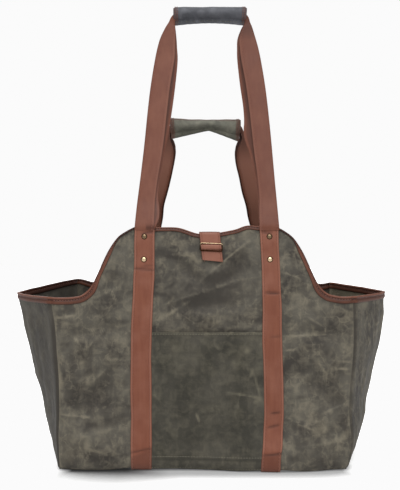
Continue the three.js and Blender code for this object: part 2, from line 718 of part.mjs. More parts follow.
// Canvas body
const FACES = [
  { name: "front", face: -1 },
  { name: "back", face: 1 },
];
const SIDES = [
  { name: "left", side: -1 },
  { name: "right", side: 1 },
];
for (const { name, face } of FACES) {
  add(`${name}_panel`, drilled(wall(panelGrid(face), CANVAS), face), canvasMaterial);
  add(`${name}_rim_binding`, wall(panelBinding(face), BINDING_THICK), bindingMaterial);
}
add("bottom_panel", wall(bottomGrid(), CANVAS), canvasMaterial);
for (const { name, side } of SIDES) {
  add(`${name}_gusset`, wall(gussetGrid(side), CANVAS), canvasMaterial);
  add(`${name}_rim_binding`, wall(gussetBinding(side), BINDING_THICK), bindingMaterial);
}
add("front_pocket", wall(pocketGrid(), CANVAS), pocketMaterial);

// Straps, with their rivets
for (const { name, side } of SIDES) {
  for (const { name: faceName, face } of FACES) {
    const strap = wall(strapGrid(face, side), STRAP_THICK);
    add(`${faceName}_${name}_strap`, drilled(strap, face, side), leatherMaterial);
  }
  add(`${name}_bottom_strap`, wall(bottomStrapGrid(side), STRAP_THICK), leatherMaterial);
}
for (const { name, face } of FACES) {
  for (const { side, row, frame } of rivetPlaces(face)) {
    const sideName = side < 0 ? "left" : "right";
    const rivet = add(`${name}_${sideName}_rivet_${row.name}`, rivetGeometry(frame.lift), brassMaterial);
    rivet.position.copy(frame.point);
    rivet.quaternion.setFromUnitVectors(new THREE.Vector3(0, 0, 1), frame.normal);
  }
}

// Handles and their grips
for (const handle of HANDLES) {
  add(`${handle.name}_handle`, wall(handleGrid(handle), ARM_LAYER), leatherMaterial);
  add(`${handle.name}_grip`, wall(sleeveGrid(handle), CANVAS), gripMaterial);
}

// Closing tab and slide
add("closing_tab", wall(tabGrid(), TAB_THICK), leatherMaterial);
const slideFrame = faceFrame(-1, TAB_X, SLIDE_Z);
const slide = add("tab_slide", slideGeometry(), brassMaterial);
slide.position.copy(slideFrame.point).addScaledVector(slideFrame.normal, SLIDE_LIFT);
slide.rotation.x = -Math.atan2(slideFrame.up.y, slideFrame.up.z);

export default carrier;
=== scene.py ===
import math

import bpy
import numpy as np
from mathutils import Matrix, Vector, noise


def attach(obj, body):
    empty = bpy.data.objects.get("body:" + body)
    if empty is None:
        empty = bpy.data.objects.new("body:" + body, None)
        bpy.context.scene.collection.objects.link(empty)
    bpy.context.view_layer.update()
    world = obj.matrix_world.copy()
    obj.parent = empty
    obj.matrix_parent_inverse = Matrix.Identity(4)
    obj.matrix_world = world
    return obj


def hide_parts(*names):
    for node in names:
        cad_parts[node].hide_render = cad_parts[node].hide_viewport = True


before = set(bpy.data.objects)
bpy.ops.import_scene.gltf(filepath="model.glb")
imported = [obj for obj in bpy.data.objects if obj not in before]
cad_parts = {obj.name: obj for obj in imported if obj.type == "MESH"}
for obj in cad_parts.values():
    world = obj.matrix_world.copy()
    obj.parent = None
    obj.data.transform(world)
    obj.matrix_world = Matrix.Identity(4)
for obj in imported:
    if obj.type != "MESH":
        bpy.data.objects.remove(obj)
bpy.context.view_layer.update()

# A log carrier of waxed canvas with leather straps, handles and rim binding.
# Sizes are millimetres in the tables and functions, and metres in the finished meshes.
# The front faces -Y. face is -1 at the front and 1 at the back;
# side is -1 at the left and 1 at the right.
MM = 0.001
FACES = {"front": -1, "back": 1}
SIDES = {"left": -1, "right": 1}


def columns(names, rows):
    """A short table as one array for each named column."""
    return dict(zip(names.split(), np.array(rows, float).T))


# Camera: level, at about half the height of the object, 1.5 m in front of it
CAMERA = Vector((-1.3, -1627.0, 365.0)) * MM
FOCAL_PIXELS = 926
IMAGE_HIGH = 490
SENSOR = 36.0

# White paper floor: as the eye sees it, and as it throws light back; its reach in metres
PAPER_WHITE = "#fbfbfb"
PAPER_GREY = "#e2e2e2"
PAPER_GLOW = 0.5
PAPER_REACH = 14.0
BACKDROP_LIGHT = 0.34
# Lamps: the way their light goes, how many degrees wide they are, and their strength
SUNS = {
    "overhead": ((0.0, 0.3, -1.0), 30, 1.5),
    "key": ((-0.3, 0.85, -0.8), 40, 1.0),
    "fill": ((0.45, 0.8, -0.85), 40, 0.5),
    "back": ((0.2, -0.85, -0.6), 50, 0.8),
}

# Stock
CANVAS = 1.6
STRAP_THICK = 2.6
STRAP_WIDE = 32.0
GAP = 0.4

# Body
BODY_X = 5.0
CORNER_TOP = 240.0
CORNER_BOTTOM = 235.0
BOTTOM_HALF_DEPTH = 115.0
EDGE_RADIUS = 12.0
BOTTOM_Z = STRAP_THICK + GAP + CANVAS / 2
ROLL_Z = BOTTOM_Z + EDGE_RADIUS
ROLL_LONG = EDGE_RADIUS * math.pi / 2
SHOULDER_Z = {-1: 281.0, 1: 296.0}
TIP_Z = {-1: 281.4, 1: 283.0}
HUMP_X = 7.0
HUMP_TOP_RISE = 112.0
HUMP_TOP_Z = SHOULDER_Z[-1] + HUMP_TOP_RISE
# The back shoulders dip beside the hump; the left one rises to its corner
BACK_SET = columns("x rise", [
    (-235, 4.5), (-226, 4.5), (-214, 1.5), (-205, -2), (-192, -4), (-178, -1.5), (-160, 0), (-90, 0),
    (-50, -2), (15, -4), (70, -2), (110, 0), (170, 0), (188, -2.5), (205, -4), (236, -3.4), (245, -2)])
# The front rim sags under the closing tab and at its shoulders, and is pulled up beside the straps
FRONT_SAG = columns("x drop", [
    (-235, 1.5), (-210, 1.6), (-190, 2), (-160, 1.2), (-135, 1.8), (-122, 1.5), (-115, 0), (-110, -1.4),
    (-92, 0), (-62, -2.2), (-40, -4), (-28, -2.4), (-16, 0.6), (-8, 2.7), (2, 3.4), (34, 2.3), (56, -0.8),
    (78, -5), (92, -2.5), (110, 0), (126, -1.6), (134, 0), (146, 1.3), (156, 0.6), (175, 0)])
PROFILE = columns("z depth", [
    (ROLL_Z, 127), (90, 130.5), (180, 130), (280, 125), (340, 117), (410, 106)])
HUMP = columns("reach rise", [
    (0, 104), (50, 108), (80, 111), (100, 112), (117, 111), (130, 107), (144, 96.5), (157, 76), (172, 43),
    (183, 19.5), (198, 4), (212, 0), (250, 0)])
GUSSET = columns("z out", [
    (BOTTOM_Z, 22), (25, 31), (60, 41.7), (95, 47), (130, 55), (165, 62.5), (200, 70), (235, 76),
    (300, 83)])
GUSSET_CREASE_POWER = 1.25
GUSSET_SKEW = 4.4
# Height at which a gusset is measured across, and how far its cut reaches over the rim
GUSSET_MEASURED_Z = 200
# How far the gussets sink in at the bottom and at the top; they swell below 0
GUSSET_SLACK = {-1: (4.0, 1.0), 1: (-1.0, -1.2)}
# How far the front corner seams stray outwards, and how dark the painted shadow line beside them on the
# gussets is
SEAM_SET = columns("z left right left_dark right_dark", [
    (0, 0, -4, 0.5, 0.3), (20, 0.6, 0.5, 0.7, 0.4), (37, 1.2, 4.4, 0.9, 0.5), (55, 1.4, 4, 0.9, 0.5),
    (92, -0.8, 0.4, 0.9, 0.4), (130, -1.1, 0.8, 0.9, 0.4), (150, -0.9, 2, 0.9, 0.5),
    (172, 0.3, 4.1, 0.9, 0.8), (195, 1.8, 5.2, 0.9, 1), (210, 2.4, 5.8, 0.9, 1), (240, 4.9, 4.9, 0.5, 1),
    (270, 9, 4, 0, 0.9), (296, 11, 3.5, 0, 0.8)])
# Painted shade on the gussets in general beside those seams
SEAM_SHADE = {-1: 0.6, 1: 0.15}
# How pale the panels are along those seams at the bottom and at the top
SEAM_PALE = {-1: (0.5, 0.4), 1: (0.2, 0.2)}
# Painted light on the insides of the gussets towards the upper back corners; painted shade below 0
BACK_PALE = {-1: -0.6, 1: 0.9}
# Painted shade on the gussets' bindings there
BACK_RIM_SHADE = {-1: 0.75, 1: 0.2}
# How quickly the stray of a corner seam fades into its panel
SEAM_DRAWS = 12
# How far from a corner seam the sheets begin to turn in, and how deep they turn
SEAM_ROUND = 9.0
SEAM_TUCK = 4.2
# Heights between which the paleness along the seams changes, and its width
SEAM_PALE_CHANGES = (170, 230)
SEAM_PALE_WIDE = 4
# Distance from the front seams of the painted shade on the gussets and of the painted shadow line, and their
# widths
SEAM_SHADE_OFF = 8
SEAM_SHADE_WIDE = 9
SEAM_LINE_OFF = 2
SEAM_LINE_WIDE = 4

# Soft dents of each face: place, direction of the fold, half length, half width, depth inwards
PATCH = "x z turn long wide size"
DENTS = {
    -1: columns(PATCH, [
        (-176, 224, 8, 60, 13, 5), (-170, 120, 52, 70, 20, 6), (-196, 62, -30, 45, 18, -4),
        (-150, 300, 62, 34, 14, 4), (-18, 322, -38, 42, 15, 4.5), (54, 318, 42, 44, 15, 5),
        (14, 268, 4, 70, 14, 4), (186, 222, -6, 56, 13, 5), (196, 130, -48, 66, 20, 6),
        (178, 66, 25, 46, 18, -4)]),
    1: columns(PATCH, [
        (-176, 214, -10, 62, 15, 5), (-182, 104, 40, 66, 20, 6), (8, 250, 5, 80, 17, 6),
        (30, 140, -35, 70, 22, 7), (-30, 80, 28, 54, 20, -4), (186, 236, 12, 58, 14, 5),
        (184, 110, -44, 64, 20, 6)]),
}
DENT_CLEAR = 10.0
DENT_FADE = 26.0

# Sharp creases of the front: both ends, height outwards, width of the slopes to the left and to the right
# of the way between the ends, and how strong the pale worn line along it and the painted shade on its right
# slope are
CREASE = "x0 z0 x1 z1 high left right mark"
CREASES = columns(CREASE, [
    (-4, 304, 84, 376, 3.2, 30, 14, 0.65), (-58, 270, 74, 312, 2.6, 18, 16, 0.8),
    (-74, 352, 2, 345, 2.4, 22, 10, 0.5), (-58, 248, -10, 280, 1.6, 12, 16, 0.6),
    (20, 262, 84, 248, 1.4, 14, 14, 0.4), (-190, 228, -152, 226, 1.6, 12, 9, 0.9),
    (-206, 216, -186, 193, 1.4, 9, 9, 0.8), (-160, 181, -120, 178, 1.4, 10, 9, 0.6),
    (-230, 92, -170, 85, 1.6, 12, 12, 0.8), (-196, 266, -140, 294, 2.0, 12, 16, 0.6),
    (-237, 246, -205, 251, 1.4, 9, 9, 0.7), (-186, 196, -168, 214, 1.2, 8, 8, 0.7),
    (-210, 50, -126, 74, 1.8, 16, 12, 0.2), (-180, 140, -150, 168, 1.4, 12, 12, 0.4),
    (-130, 22, -190, 40, 1.8, 14, 10, 0.4), (134, 217, 210, 220, 1.6, 10, 12, 0.9),
    (216, 166, 240, 164, 1.4, 9, 9, 0.9), (134, 194, 156, 196, 1.2, 8, 8, 0.8),
    (136, 88, 186, 64, 2.0, 12, 18, 0.6), (130, 322, 164, 310, 1.8, 14, 10, 0.6),
    (150, 132, 176, 158, 1.4, 12, 12, 0.5), (196, 92, 232, 108, 1.4, 12, 12, 0.5),
    (170, 250, 200, 232, 1.4, 10, 12, 0.5), (150, 40, 226, 48, 1.4, 14, 12, 0.4)])
POCKET_CREASES = columns(CREASE, [
    (-8, 94, -2, 78, 1.2, 8, 8, 0.9), (40, 128, 98, 118, 1.2, 14, 12, 0.7),
    (84, 160, 96, 120, 1.0, 10, 8, 0.6), (-90, 130, -70, 120, 0.8, 10, 8, 0.5),
    (20, 206, 30, 196, 0.8, 8, 8, 0.5)])

# Front cloth tones: place, direction, half length, half width; above 0 worn wax and painted light, below it
# painted shade under folds
TONES = columns(PATCH, [
    (60, 226, 0, 45, 2.2, -1), (14, 300, 0, 80, 45, -0.4), (-152, 318, 60, 32, 14, -0.25),
    (-52, 350, -15, 22, 5.5, -1), (36, 315, 30, 28, 7, -0.8), (14, 276, 2, 33, 9, -0.9),
    (-56, 283, -5, 18, 9, -0.8), (76, 343, -60, 18, 9, -0.7), (-50, 298, 30, 10, 3.5, -0.6),
    (-24, 293, 0, 13, 10, -0.8), (-67, 308, -10, 8, 6, -0.5), (-14, 341, -25, 20, 6, 0.5),
    (-51, 252, 15, 23, 8, 0.4), (-46, 367, 0, 24, 8, 0.25), (82, 247, 40, 16, 6, 0.3),
    (55, 326, 30, 6, 4, 0.4), (70, 376, 35, 20, 6, 0.35), (151, 333, 85, 18, 5, -0.5),
    (-216, 237, 20, 8, 5, 0.5), (-192, 174, 60, 7, 5, 0.5), (-188, 134, 50, 12, 5, 0.4),
    (-194, 118, 60, 8, 4, 0.4), (-190, 88, 60, 9, 5, 0.5), (-150, 66, 20, 14, 4, 0.35),
    (-142, 31, -40, 18, 4, 0.45), (-125, 210, 80, 12, 4, 0.3), (-218, 248, 10, 16, 3, 0.35),
    (-216, 258, 8, 13, 5, -0.6), (-129, 241, 5, 12, 5, -0.6), (-182, 160, 28, 22, 5, -0.8),
    (-203, 122, 30, 6, 3.5, -0.3), (-178, 120, 70, 11, 8, -0.5), (-136, 84, 5, 17, 6, -0.6),
    (-220, 204, 60, 10, 8, -0.8), (-178, 208, 20, 12, 8, -0.45), (-155, 221, 40, 4, 3, -0.7),
    (-124, 142, 80, 16, 6, -0.6), (-134, 185, 0, 16, 3, -0.5), (-160, 22, 10, 40, 5, -0.4),
    (169, 179, -40, 14, 5, 0.4), (155, 130, 60, 7, 5, 0.5), (226, 51, 20, 8, 5, 0.5),
    (141, 40, -25, 13, 5, 0.5), (196, 67, 20, 14, 6, 0.35), (198, 153, 85, 13, 3, 0.4),
    (210, 187, 85, 14, 3, 0.3), (175, 155, 20, 7, 4, 0.35), (159, 167, -50, 14, 8, -0.5),
    (161, 118, -5, 15, 5, -0.6), (216, 177, 75, 10, 6, -0.6), (155, 73, -20, 20, 8, -0.6),
    (163, 47, 5, 17, 8, -0.5), (190, 47, 40, 8, 6, -0.6), (210, 69, 60, 7, 6, -0.6),
    (222, 112, 60, 14, 9, -0.45), (188, 253, 30, 12, 8, -0.35), (139, 175, 88, 20, 6, -0.4),
    (210, 24, 5, 14, 5, -0.5), (-176, 76, 0, 12, 9, -0.9), (-190, 66, 0, 22, 9, -0.5),
    (-213, 28, 0, 14, 16, 0.35), (-184, 42, 80, 12, 4, 0.4), (55, 299, 18, 12, 6, -0.6),
    (152, 284, 0, 12, 8, 0.4), (186, 221, 0, 14, 8, 0.7), (150, 24, 5, 26, 8, -0.6),
    (-155, 139, 20, 12, 7, 0.4), (22, 238, 0, 14, 6, 0.4), (22, 314, 20, 12, 8, -0.6),
    (-122, 300, 88, 30, 8, -0.5), (-148, 76, 0, 18, 7, -0.5), (86, 300, 60, 12, 7, -0.4),
    (-60, 349, 0, 10, 7, -0.7)])
# The pocket's tones the same way: worn wax and painted light above 0, painted shade below it
POCKET_TONES = columns(PATCH, [
    (60, 222.5, 0, 45, 1.2, 0.6), (92, 114, -10, 9, 6, 0.8), (81, 157, 75, 10, 3, 0.5),
    (74, 196, 30, 10, 6, 0.45), (9, 102, 30, 13, 5, 0.35), (-42, 197, 80, 13, 5, 0.3),
    (-74, 130, 80, 7, 3, 0.4), (35, 19, 85, 6, 3, 0.5), (9, 219, 0, 7, 4, 0.5), (85, 215, 20, 14, 8, 0.3),
    (58, 106, 10, 5, 4, 0.3), (20, 60, 5, 60, 22, -0.5), (-40, 130, 10, 40, 24, -0.35),
    (22, 118, 20, 8, 5, -0.4), (60, 180, 70, 22, 10, 0.2), (-20, 180, 10, 30, 16, 0.15),
    (70, 50, 10, 26, 14, -0.3)])

# Painted light and shade of the gussets' cloth, placed in depth and height
GUSSET_TONES = {
    -1: columns(PATCH, [(-70, 150, 90, 120, 55, -0.6)]),
    1: columns(PATCH, [
        (-100, 268, 90, 18, 14, 0.6), (-95, 90, 90, 40, 25, -0.6), (-65, 178, 90, 20, 20, -0.4)]),
}

# How the front's lower edge sets on the floor: pushed out on the face and under it,
# and let down between the straps
BASE_SET = columns("x out under down", [
    (-235, 4, 4, 2.4), (-205, 7, 7, 2.6), (-145, 8, 8, 2.4), (-117, 6, 6, 0), (-80, 4, 6, 0),
    (-50, 3, 5, 0), (0, 4, 5, 1.2), (30, 7, 9, 1.6), (60, 12, 16, 1.8), (98, 15, 20, 0), (136, 17, 24, 0),
    (165, 15, 21, 2.4), (190, 12, 16, 2.5), (215, 7, 7, 2.6), (245, 4, 4, 2.4)])
BASE_FADE = 70.0
# How quickly that set fades towards the back on the gussets and on the floor
BASE_SET_POWER = 6

# Random creases of the back and of the gussets: how many, and the corners of the area they lie in
CREASE_SEED = 11
BACK_CREASES = 30
BACK_CREASED = ((-220, 40), (220, 350))
GUSSET_CREASES = 16
GUSSET_CREASED = ((-110, 40), (110, 240))
# Their directions in radians, lengths, and least and most of height, slopes and mark: worn line and painted
# shade
CREASE_TURNS = [0, 0.5, -0.6, 1.4]
CREASE_LONG = (14, 46)
CREASE_LEAST = (0.8, 8, 8, 0.3)
CREASE_MOST = (2.2, 18, 18, 0.9)
# Shares of its length over which a crease fades at its ends, and the width of its worn line
CREASE_FADE = (-0.15, 0.3)
CREASE_LINE = 1.9

# Crumpled cloth: size across and depth of its facets, whose bowls have their middle at BOWL
FACET = 46
FACET_DEEP = 2.4
SMALL_FACET = 19
SMALL_FACET_DEEP = 0.8
GUSSET_FACET = 44
GUSSET_FACET_DEEP = 2.0
POCKET_FACET = 52
POCKET_FACET_DEEP = 1.6
BOWL = 0.3
# How far from their ridges the wax is worn, as a share of a facet
RIDGE_WORN = 0.09
SMALL_RIDGE_WORN = 0.1
POCKET_RIDGE_WORN = 0.06
# Size of the areas in which the cloth is crumpled, and the noise between none and all
CRUMPLED_AREA = 34
CRUMPLED = (0.05, 0.5)
# Size and height of the ripple all over
RIPPLE = 14
RIPPLE_HIGH = 0.35
# Upright folds of the gussets: size and height, and the share by which they are drawn out upwards
FOLD = 26
FOLD_HIGH = 2.4
FOLD_DRAWN = np.array([1.0, 1.0, 0.28])

# Straps
STRAP_X = 10.0
STRAP_HALF_TOP = 102.0
STRAP_HALF_BOTTOM = 107.0
STRAP_LIFT = CANVAS / 2 + GAP + STRAP_THICK / 2
STRAP_LIFT_AT_RIM = 4.0
STRAP_CLIMB = (340.0, 372.0)
STRAP_TOP_Z = 388.4
# How far the edges of the front straps stray to the right of their straight run:
# each strap's left and right edge
STRAP_SET = columns("z left_left left_right right_left right_right", [
    (0, 0.2, 1.4, -4.6, -5.4), (14, 0, 1.5, -4.1, -5), (27, -0.2, 1.6, -2.8, -4),
    (40, -0.6, 1.6, -1.2, -1.8), (65, -0.8, 1.1, 0.7, 0), (91, -0.8, 0.5, 2.4, 2),
    (117, -2, 0.3, 2.4, 2.1), (156, -2.4, -0.5, 2.4, 1.9), (182, -2.4, -1.4, 2, 1.4),
    (208, -2.7, -1.1, 1, 1.2), (234, -2.6, -0.8, 1.6, 1), (260, -1.7, -0.2, 2.4, 1.5),
    (286, -0.7, 0.5, 2.4, 0.7), (312, -0.5, 1.7, 2.4, 0.2), (337, 0.3, 1.3, 2.2, -0.2),
    (363, -0.4, 0.9, 1.2, -1.2), (389, 0, 0.5, 0.3, -1)])
STRAP_GROOVE = 3.4
STITCH_INSET = 3.4
STRAP_CREASE_WIDE = 1.9
# Play between an under-strap and the straps that it meets
STRAP_PLAY = 0.3
# Where a strap turns under the bag and painted shade begins on it, and the slant of that line across it
TURN_Z = 30.0
TURN_SLANT = {-1: 0.4, 1: 0.2}
# Creases pressed across the straps, with painted shade in them: height, slant, where across the strap, half
# length, depth
STRAP_CREASES = columns("face side z slant middle long deep", [
    (-1, -1, 325, -0.08, 0, 20, 0.9), (-1, -1, 330, 0.06, 5, 9, 0.6), (-1, -1, 228, 0.0, 0, 20, -0.5),
    (-1, -1, 384, 0.1, 6, 9, 1.2), (-1, 1, 287, -0.05, 1, 12, 1.3), (-1, 1, 216, 0.12, 6, 8, 0.6),
    (-1, 1, 94, 0.12, 2, 8, 1.2), (-1, 1, 73, 0.25, 0, 10, 1.2), (-1, 1, 384, -0.1, -5, 9, 1.0),
    (1, -1, 300, 0.1, 0, 12, 0.9), (1, -1, 180, -0.1, 4, 9, 0.9), (1, 1, 240, 0.1, -4, 10, 1.0),
    (1, 1, 110, -0.15, 2, 9, 1.0), (-1, -1, 34, 0.22, 0, 22, 0.9), (-1, 1, 30, 0.1, 0, 22, 0.9),
    (1, -1, 32, -0.1, 0, 22, 0.9), (1, 1, 32, 0.1, 0, 22, 0.9)])

# Pocket
POCKET_TOP_Z = 224.0
# The same as a distance up the panel
POCKET_TOP = POCKET_TOP_Z - ROLL_Z
POCKET_LIFT = CANVAS + 0.6
POCKET_GAPE = 9.0
POCKET_GAPE_FROM_Z = 60.0
POCKET_HEM = 4.5
POCKET_FOOT = 8.0
POCKET_LOW = -ROLL_LONG * 0.7
POCKET_BESIDE_STRAP = 0.2
POCKET_HEM_THICK = 0.7

# Rim binding
BINDING_SETBACK = 0.4
# How it narrows up the hump, and again beside the straps
BINDING_ON_HUMP = 0.6
BINDING_BESIDE_STRAP = 0.28
BINDING_NARROWS = (288.0, 315.0)
BINDING_NARROWS_AGAIN = (350.0, 378.0)
# Half of its folded section, from the lower edge of the outer leg to the top:
# off the canvas's middle, and down
BINDING_OUTSIDE = [(1.5, 10.2), (2.1, 9.7), (2.4, 8.6), (2.4, 5.8), (2.1, 5.0), (1.7, 4.2), (1.6, 2.8),
                   (1.9, 2.0), (2.4, 1.2), (2.3, 0.2), (1.5, -1.0), (0.0, -1.5)]
# Painted shade on those points: along the lower edge and in the seam's groove
BINDING_SHADE = [0.5, 0.3, 0.0, 0.1, 0.4, 0.7, 0.7, 0.35, 0.0, 0.0, 0.0, 0.0]
BINDING_INSIDE = [(0.0, -0.5), (1.1, 0.2), (1.3, 1.6), (1.25, 5.5), (1.2, 10.0)]
# Points of that half that make the rounded top
BINDING_CROWN = 5
# Its seam: off the canvas's middle, and down from the top
BINDING_STITCH = (1.65, 5.0)

# Handle arms: thickness of a layer, and how far its middle lies from the arm's
ARM_LAYER = 1.15
ARM_LAYER_MID = 0.72
# Columns across each layer and round the fold, with the columns and rows of the seams
ARM_COLUMNS = 16
ARM_BEND = 5
ARM_ROWS = 120
ARM_SEAMS = (2, 14)
ARM_SEAM_ROWS = slice(1, 96)
# Handle arms by row up the arm: depth, distances of the fold and of both layers' inner edges from the
# handle's middle line, how far the layers part, and how far the inner edges drop
FRONT_ARM = columns("z depth fold edge under open drop", [
    (389, 113.5, 118, 86, 86, 0, 0), (398, 112.9, 117.4, 86.2, 86.2, 0, 0),
    (418, 106, 116, 86.4, 85, 1, 0), (440, 98, 114.3, 86.4, 82.6, 3, 0), (473, 89, 111.3, 84, 77.2, 5, 0),
    (524, 76, 107, 77.6, 67.8, 7, 0), (594, 59, 101.3, 71.1, 61.1, 8, 0), (640, 48, 96.5, 66, 56.5, 8, 0),
    (682, 38, 90.4, 59.5, 53.5, 7, 0), (705, 33, 86, 57.6, 54.5, 6, 0), (722, 29.5, 81.5, 57.5, 56, 5, 0),
    (741, 26, 74.5, 61, 61, 5, 0), (750, 24.5, 70, 62.5, 62.5, 5, 3), (759, 24, 66.5, 62, 62, 5, 5),
    (766, 24, 60, 57, 57, 5, 8), (768.5, 24, 50, 50, 50, 5, 9)])
BACK_ARM = columns("z depth fold edge under open drop", [
    (389, 113.5, 118, 86, 86, 0, 0), (398, 112.9, 118, 86, 86, 0, 0), (418, 99.5, 117, 83.5, 79.5, 2, 0),
    (444, 82, 112, 78.4, 73, 4, 0), (487, 60, 100.5, 67.4, 62, 6, 0), (525, 42, 92, 60, 54.5, 7, 0),
    (540, 35, 85, 59, 55.5, 6, 0), (550, 30.5, 78, 61, 59.5, 5, 0), (558, 28, 72, 62.5, 62.5, 5, 2),
    (567, 27, 68, 62, 62, 5, 5), (576, 26, 64, 60, 60, 5, 8), (581, 26, 57, 55, 55, 5, 8),
    (583, 26, 45, 45, 45, 5, 8)])
# How the two front arms differ: edge and under layer moved inwards, by height
FRONT_ARM_SET = columns("z left_edge left_under right_edge right_under", [
    (389, 0, 0, 0, 0), (398, 0, 3.5, 0, 0), (411, 0, 7, 0, 0), (425, 0.3, 5.5, 0, -1),
    (440, 0.5, 1.5, 0, -2.2), (473, 1, -2.8, 0.3, -4), (524, 1.5, -4.6, 0.5, -1),
    (541, 1.7, -3.2, 0.7, 3.2), (555, 1.8, -2.1, 0.8, 4.2), (574, 1.9, -1, 0.9, 1.5), (594, 2, 0, 1, 0.5),
    (640, 2, 0.9, 1.5, 1.5), (682, 2, 1.5, 2, 2.6), (722, 1, 1.7, 3, 4.6), (741, 3, 3, 2.5, 4),
    (750, 3, 3, 2, 3), (759, 2, 2, 1.5, 1.5), (768.5, 0, 0, 0, 0)])
BACK_ARM_SET = columns("z left_edge left_under right_edge right_under", [
    (389, 1, 2, 1, 2.5), (400, 1, 1.8, 1.5, 2.5), (418, 1.2, -0.3, 3.1, 1.6), (436, 0, -2.5, 3, 0.5),
    (461, 1.4, -1.5, 4.5, 1.6), (487, 1.9, -1, 3.7, 0.8), (512, 2.4, -0.6, 5, 2),
    (536, 0.7, 0.6, 1.7, 1.7), (549, -1.4, 3, -1.5, 2.6), (583, 0, 0, 0, 0)])
# lean: sideways drift of an arm up to its middle; shift: of its grip
# top: height of the sleeve; mid_high, end_high: how tall it is in the middle and at its ends
# bend: 2 for an arched sleeve, 1 for a V; half_upper, half_lower: half lengths of its edges
# tilt: how much lower its right end hangs than its middle; dip: how far its top sinks in the middle
# apex: where along it its lower edge is highest; stain: how brown its ends are
# outline: how strong the painted shade along its lower edge and the brown along its upper edge are
# pale: painted light on the arms' front layers; shade: how much darker the left and the right arm are
# under_shade, rim_shade: painted shade on their under layers and on those layers' edges
# top_shade: painted shadow on the arms under the sleeve; foot_fold: painted shade in the fold at the foot of
# the left arm
HANDLES = {
    "front": {
        "face": -1, "arm": FRONT_ARM, "set": FRONT_ARM_SET, "lean": 2.2, "shift": 6.0,
        "top": 777.0, "mid_high": 28.0, "end_high": (32.5, 32.5),
        "bend": 2.0, "half_upper": 63.3, "half_lower": 61.5,
        "tilt": 0.0, "dip": 0.0, "apex": 0.0, "stain": 0.5, "outline": 0.0,
        "pale": 0.0, "shade": (0.22, 0.3), "under_shade": 0.65, "rim_shade": 0.3,
        "top_shade": (0.25, 0.65), "foot_fold": 0.5},
    "back": {
        "face": 1, "arm": BACK_ARM, "set": BACK_ARM_SET, "lean": -1.0, "shift": -2.0,
        "top": 591.0, "mid_high": 19.6, "end_high": (38.0, 41.0),
        "bend": 1.15, "half_upper": 62.8, "half_lower": 60.0,
        "tilt": 1.0, "dip": 2.2, "apex": 0.1, "stain": 0.8, "outline": 0.8,
        "pale": 1.6, "shade": (0.0, 0.0), "under_shade": 0.9, "rim_shade": 0.7,
        "top_shade": (0.5, 0.7), "foot_fold": 0.0},
}
# Tone of the arms' under layers as seen from behind
ARM_OUTER_SHADE = 0.2
# Height of the painted shade of the fold at the foot of the front left arm, and the columns it crosses
FOOT_FOLD_Z = 393.0
FOOT_FOLD_COLUMNS = 7
# How far below the arms' tops their painted shadow under the sleeve begins and is full
TOP_SHADE = (-75, -26)

# Grip sleeves: how far inside the arms their middle lies, and half of their section from flange to top
GRIP_CENTRE_IN = 2.5
SLEEVE = columns("breadth high", [
    (0.85, 0.02), (0.85, 0.12), (0.9, 0.22), (1.6, 0.29), (5.5, 0.37), (9.2, 0.5), (10.4, 0.66),
    (8.2, 0.86), (3.2, 0.97), (0.0, 0.985)])

# Their seams: places round the sleeve, and stations along it from -1 to 1
SLEEVE_SEAMS = (0.14, 1.86)
SLEEVE_ENDS = (-0.955, -0.9, 0.9, 0.955)

# Closing tab and slide
TAB_X = 17.0
TAB_WIDE = 34.0
TAB_THICK = 1.8
TAB_LIFT = 3.9
TAB_OVER_BAR = 8.7
TAB_END_Z = 338.5
TAB_WEAVE = 3.05
TAB_INSIDE = 26.0
# Over the rim: height of the bend, and half its width
TAB_OVER_RIM = 3.4
TAB_BEND = 2.3
# Where it leaves the panel to pass through the slide, and the rounding of its bends
TAB_NEAR_SLIDE = 9
TAB_ROUND = 2.2
# Its seams lie further out than the panel does at this height
TAB_SEAM_Z = 360.0
SLIDE_Z = 360.5
SLIDE_LIFT = 6.3
SLIDE_WIDE = 37.6
SLIDE_HIGH = 14.0
SLIDE_BAR = 1.8
SLIDE_CORNER = 2.2
SLIDE_TILT = 2.5
TAB_LEAN = 0.11
TAB_END_SLANT = 0.1

# Rivets
RIVET_CAP = 3.9
RIVET_CAP_HIGH = 1.7
RIVET_PROUD = 0.2
# Shank, burr and seat: radius as a share of the cap's, and thickness
RIVET_SHANK = 0.45
RIVET_BURR = 0.8
RIVET_BURR_THICK = 1.2
RIVET_SEAT = 1.22
RIVET_SEAT_THICK = 0.5
RIVET_ROWS = {"upper": 378.0, "lower": 341.0}
# How dark the rivet caps of each row are
RIVET_DARKNESS = {"upper": 0.75, "lower": 0.05}

# Stitches: distance from one to the next, length and thread radius
STITCH = {
    "binding_stitches": (4.6, 3.6, 0.5),
    "strap_stitches": (5.0, 4.0, 0.5),
    "handle_stitches": (5.0, 4.0, 0.45),
    "grip_seam_stitches": (4.4, 3.4, 0.45),
    "grip_end_stitches": (3.4, 2.6, 0.6),
    "tab_stitches": (3.6, 2.8, 0.4),
    "pocket_stitches": (4.4, 3.5, 0.42),
}

# Steps, rows and columns of the fine meshes
SHEET_STEP = 2.5
STRAP_STEP = 2.5
UNDER_STRAP_STEP = 6.0
RIM_STEP = 2.5
POCKET_STEP = 2.2
TAB_STEP = 1.5
PANEL_ROWS = 140
GUSSET_ROWS = 104
GUSSET_ROLL_ROWS = 14
GUSSET_COLUMNS = 108
GUSSET_RIM_POINTS = 110
FLOOR_ROWS = 60
FLOOR_COLUMNS = 150
POCKET_COLUMNS = 84
POCKET_SEAM_POINTS = 90
SLEEVE_ROWS = 80
SLEEVE_COLUMNS = 57
SLEEVE_SEAM_POINTS = 60
BAR_POINTS = 12


def smoothstep(value, start, end):
    share = np.clip((value - start) / (end - start), 0, 1)
    return share * share * (3 - 2 * share)


def mix(start, end, share):
    return start + (end - start) * share


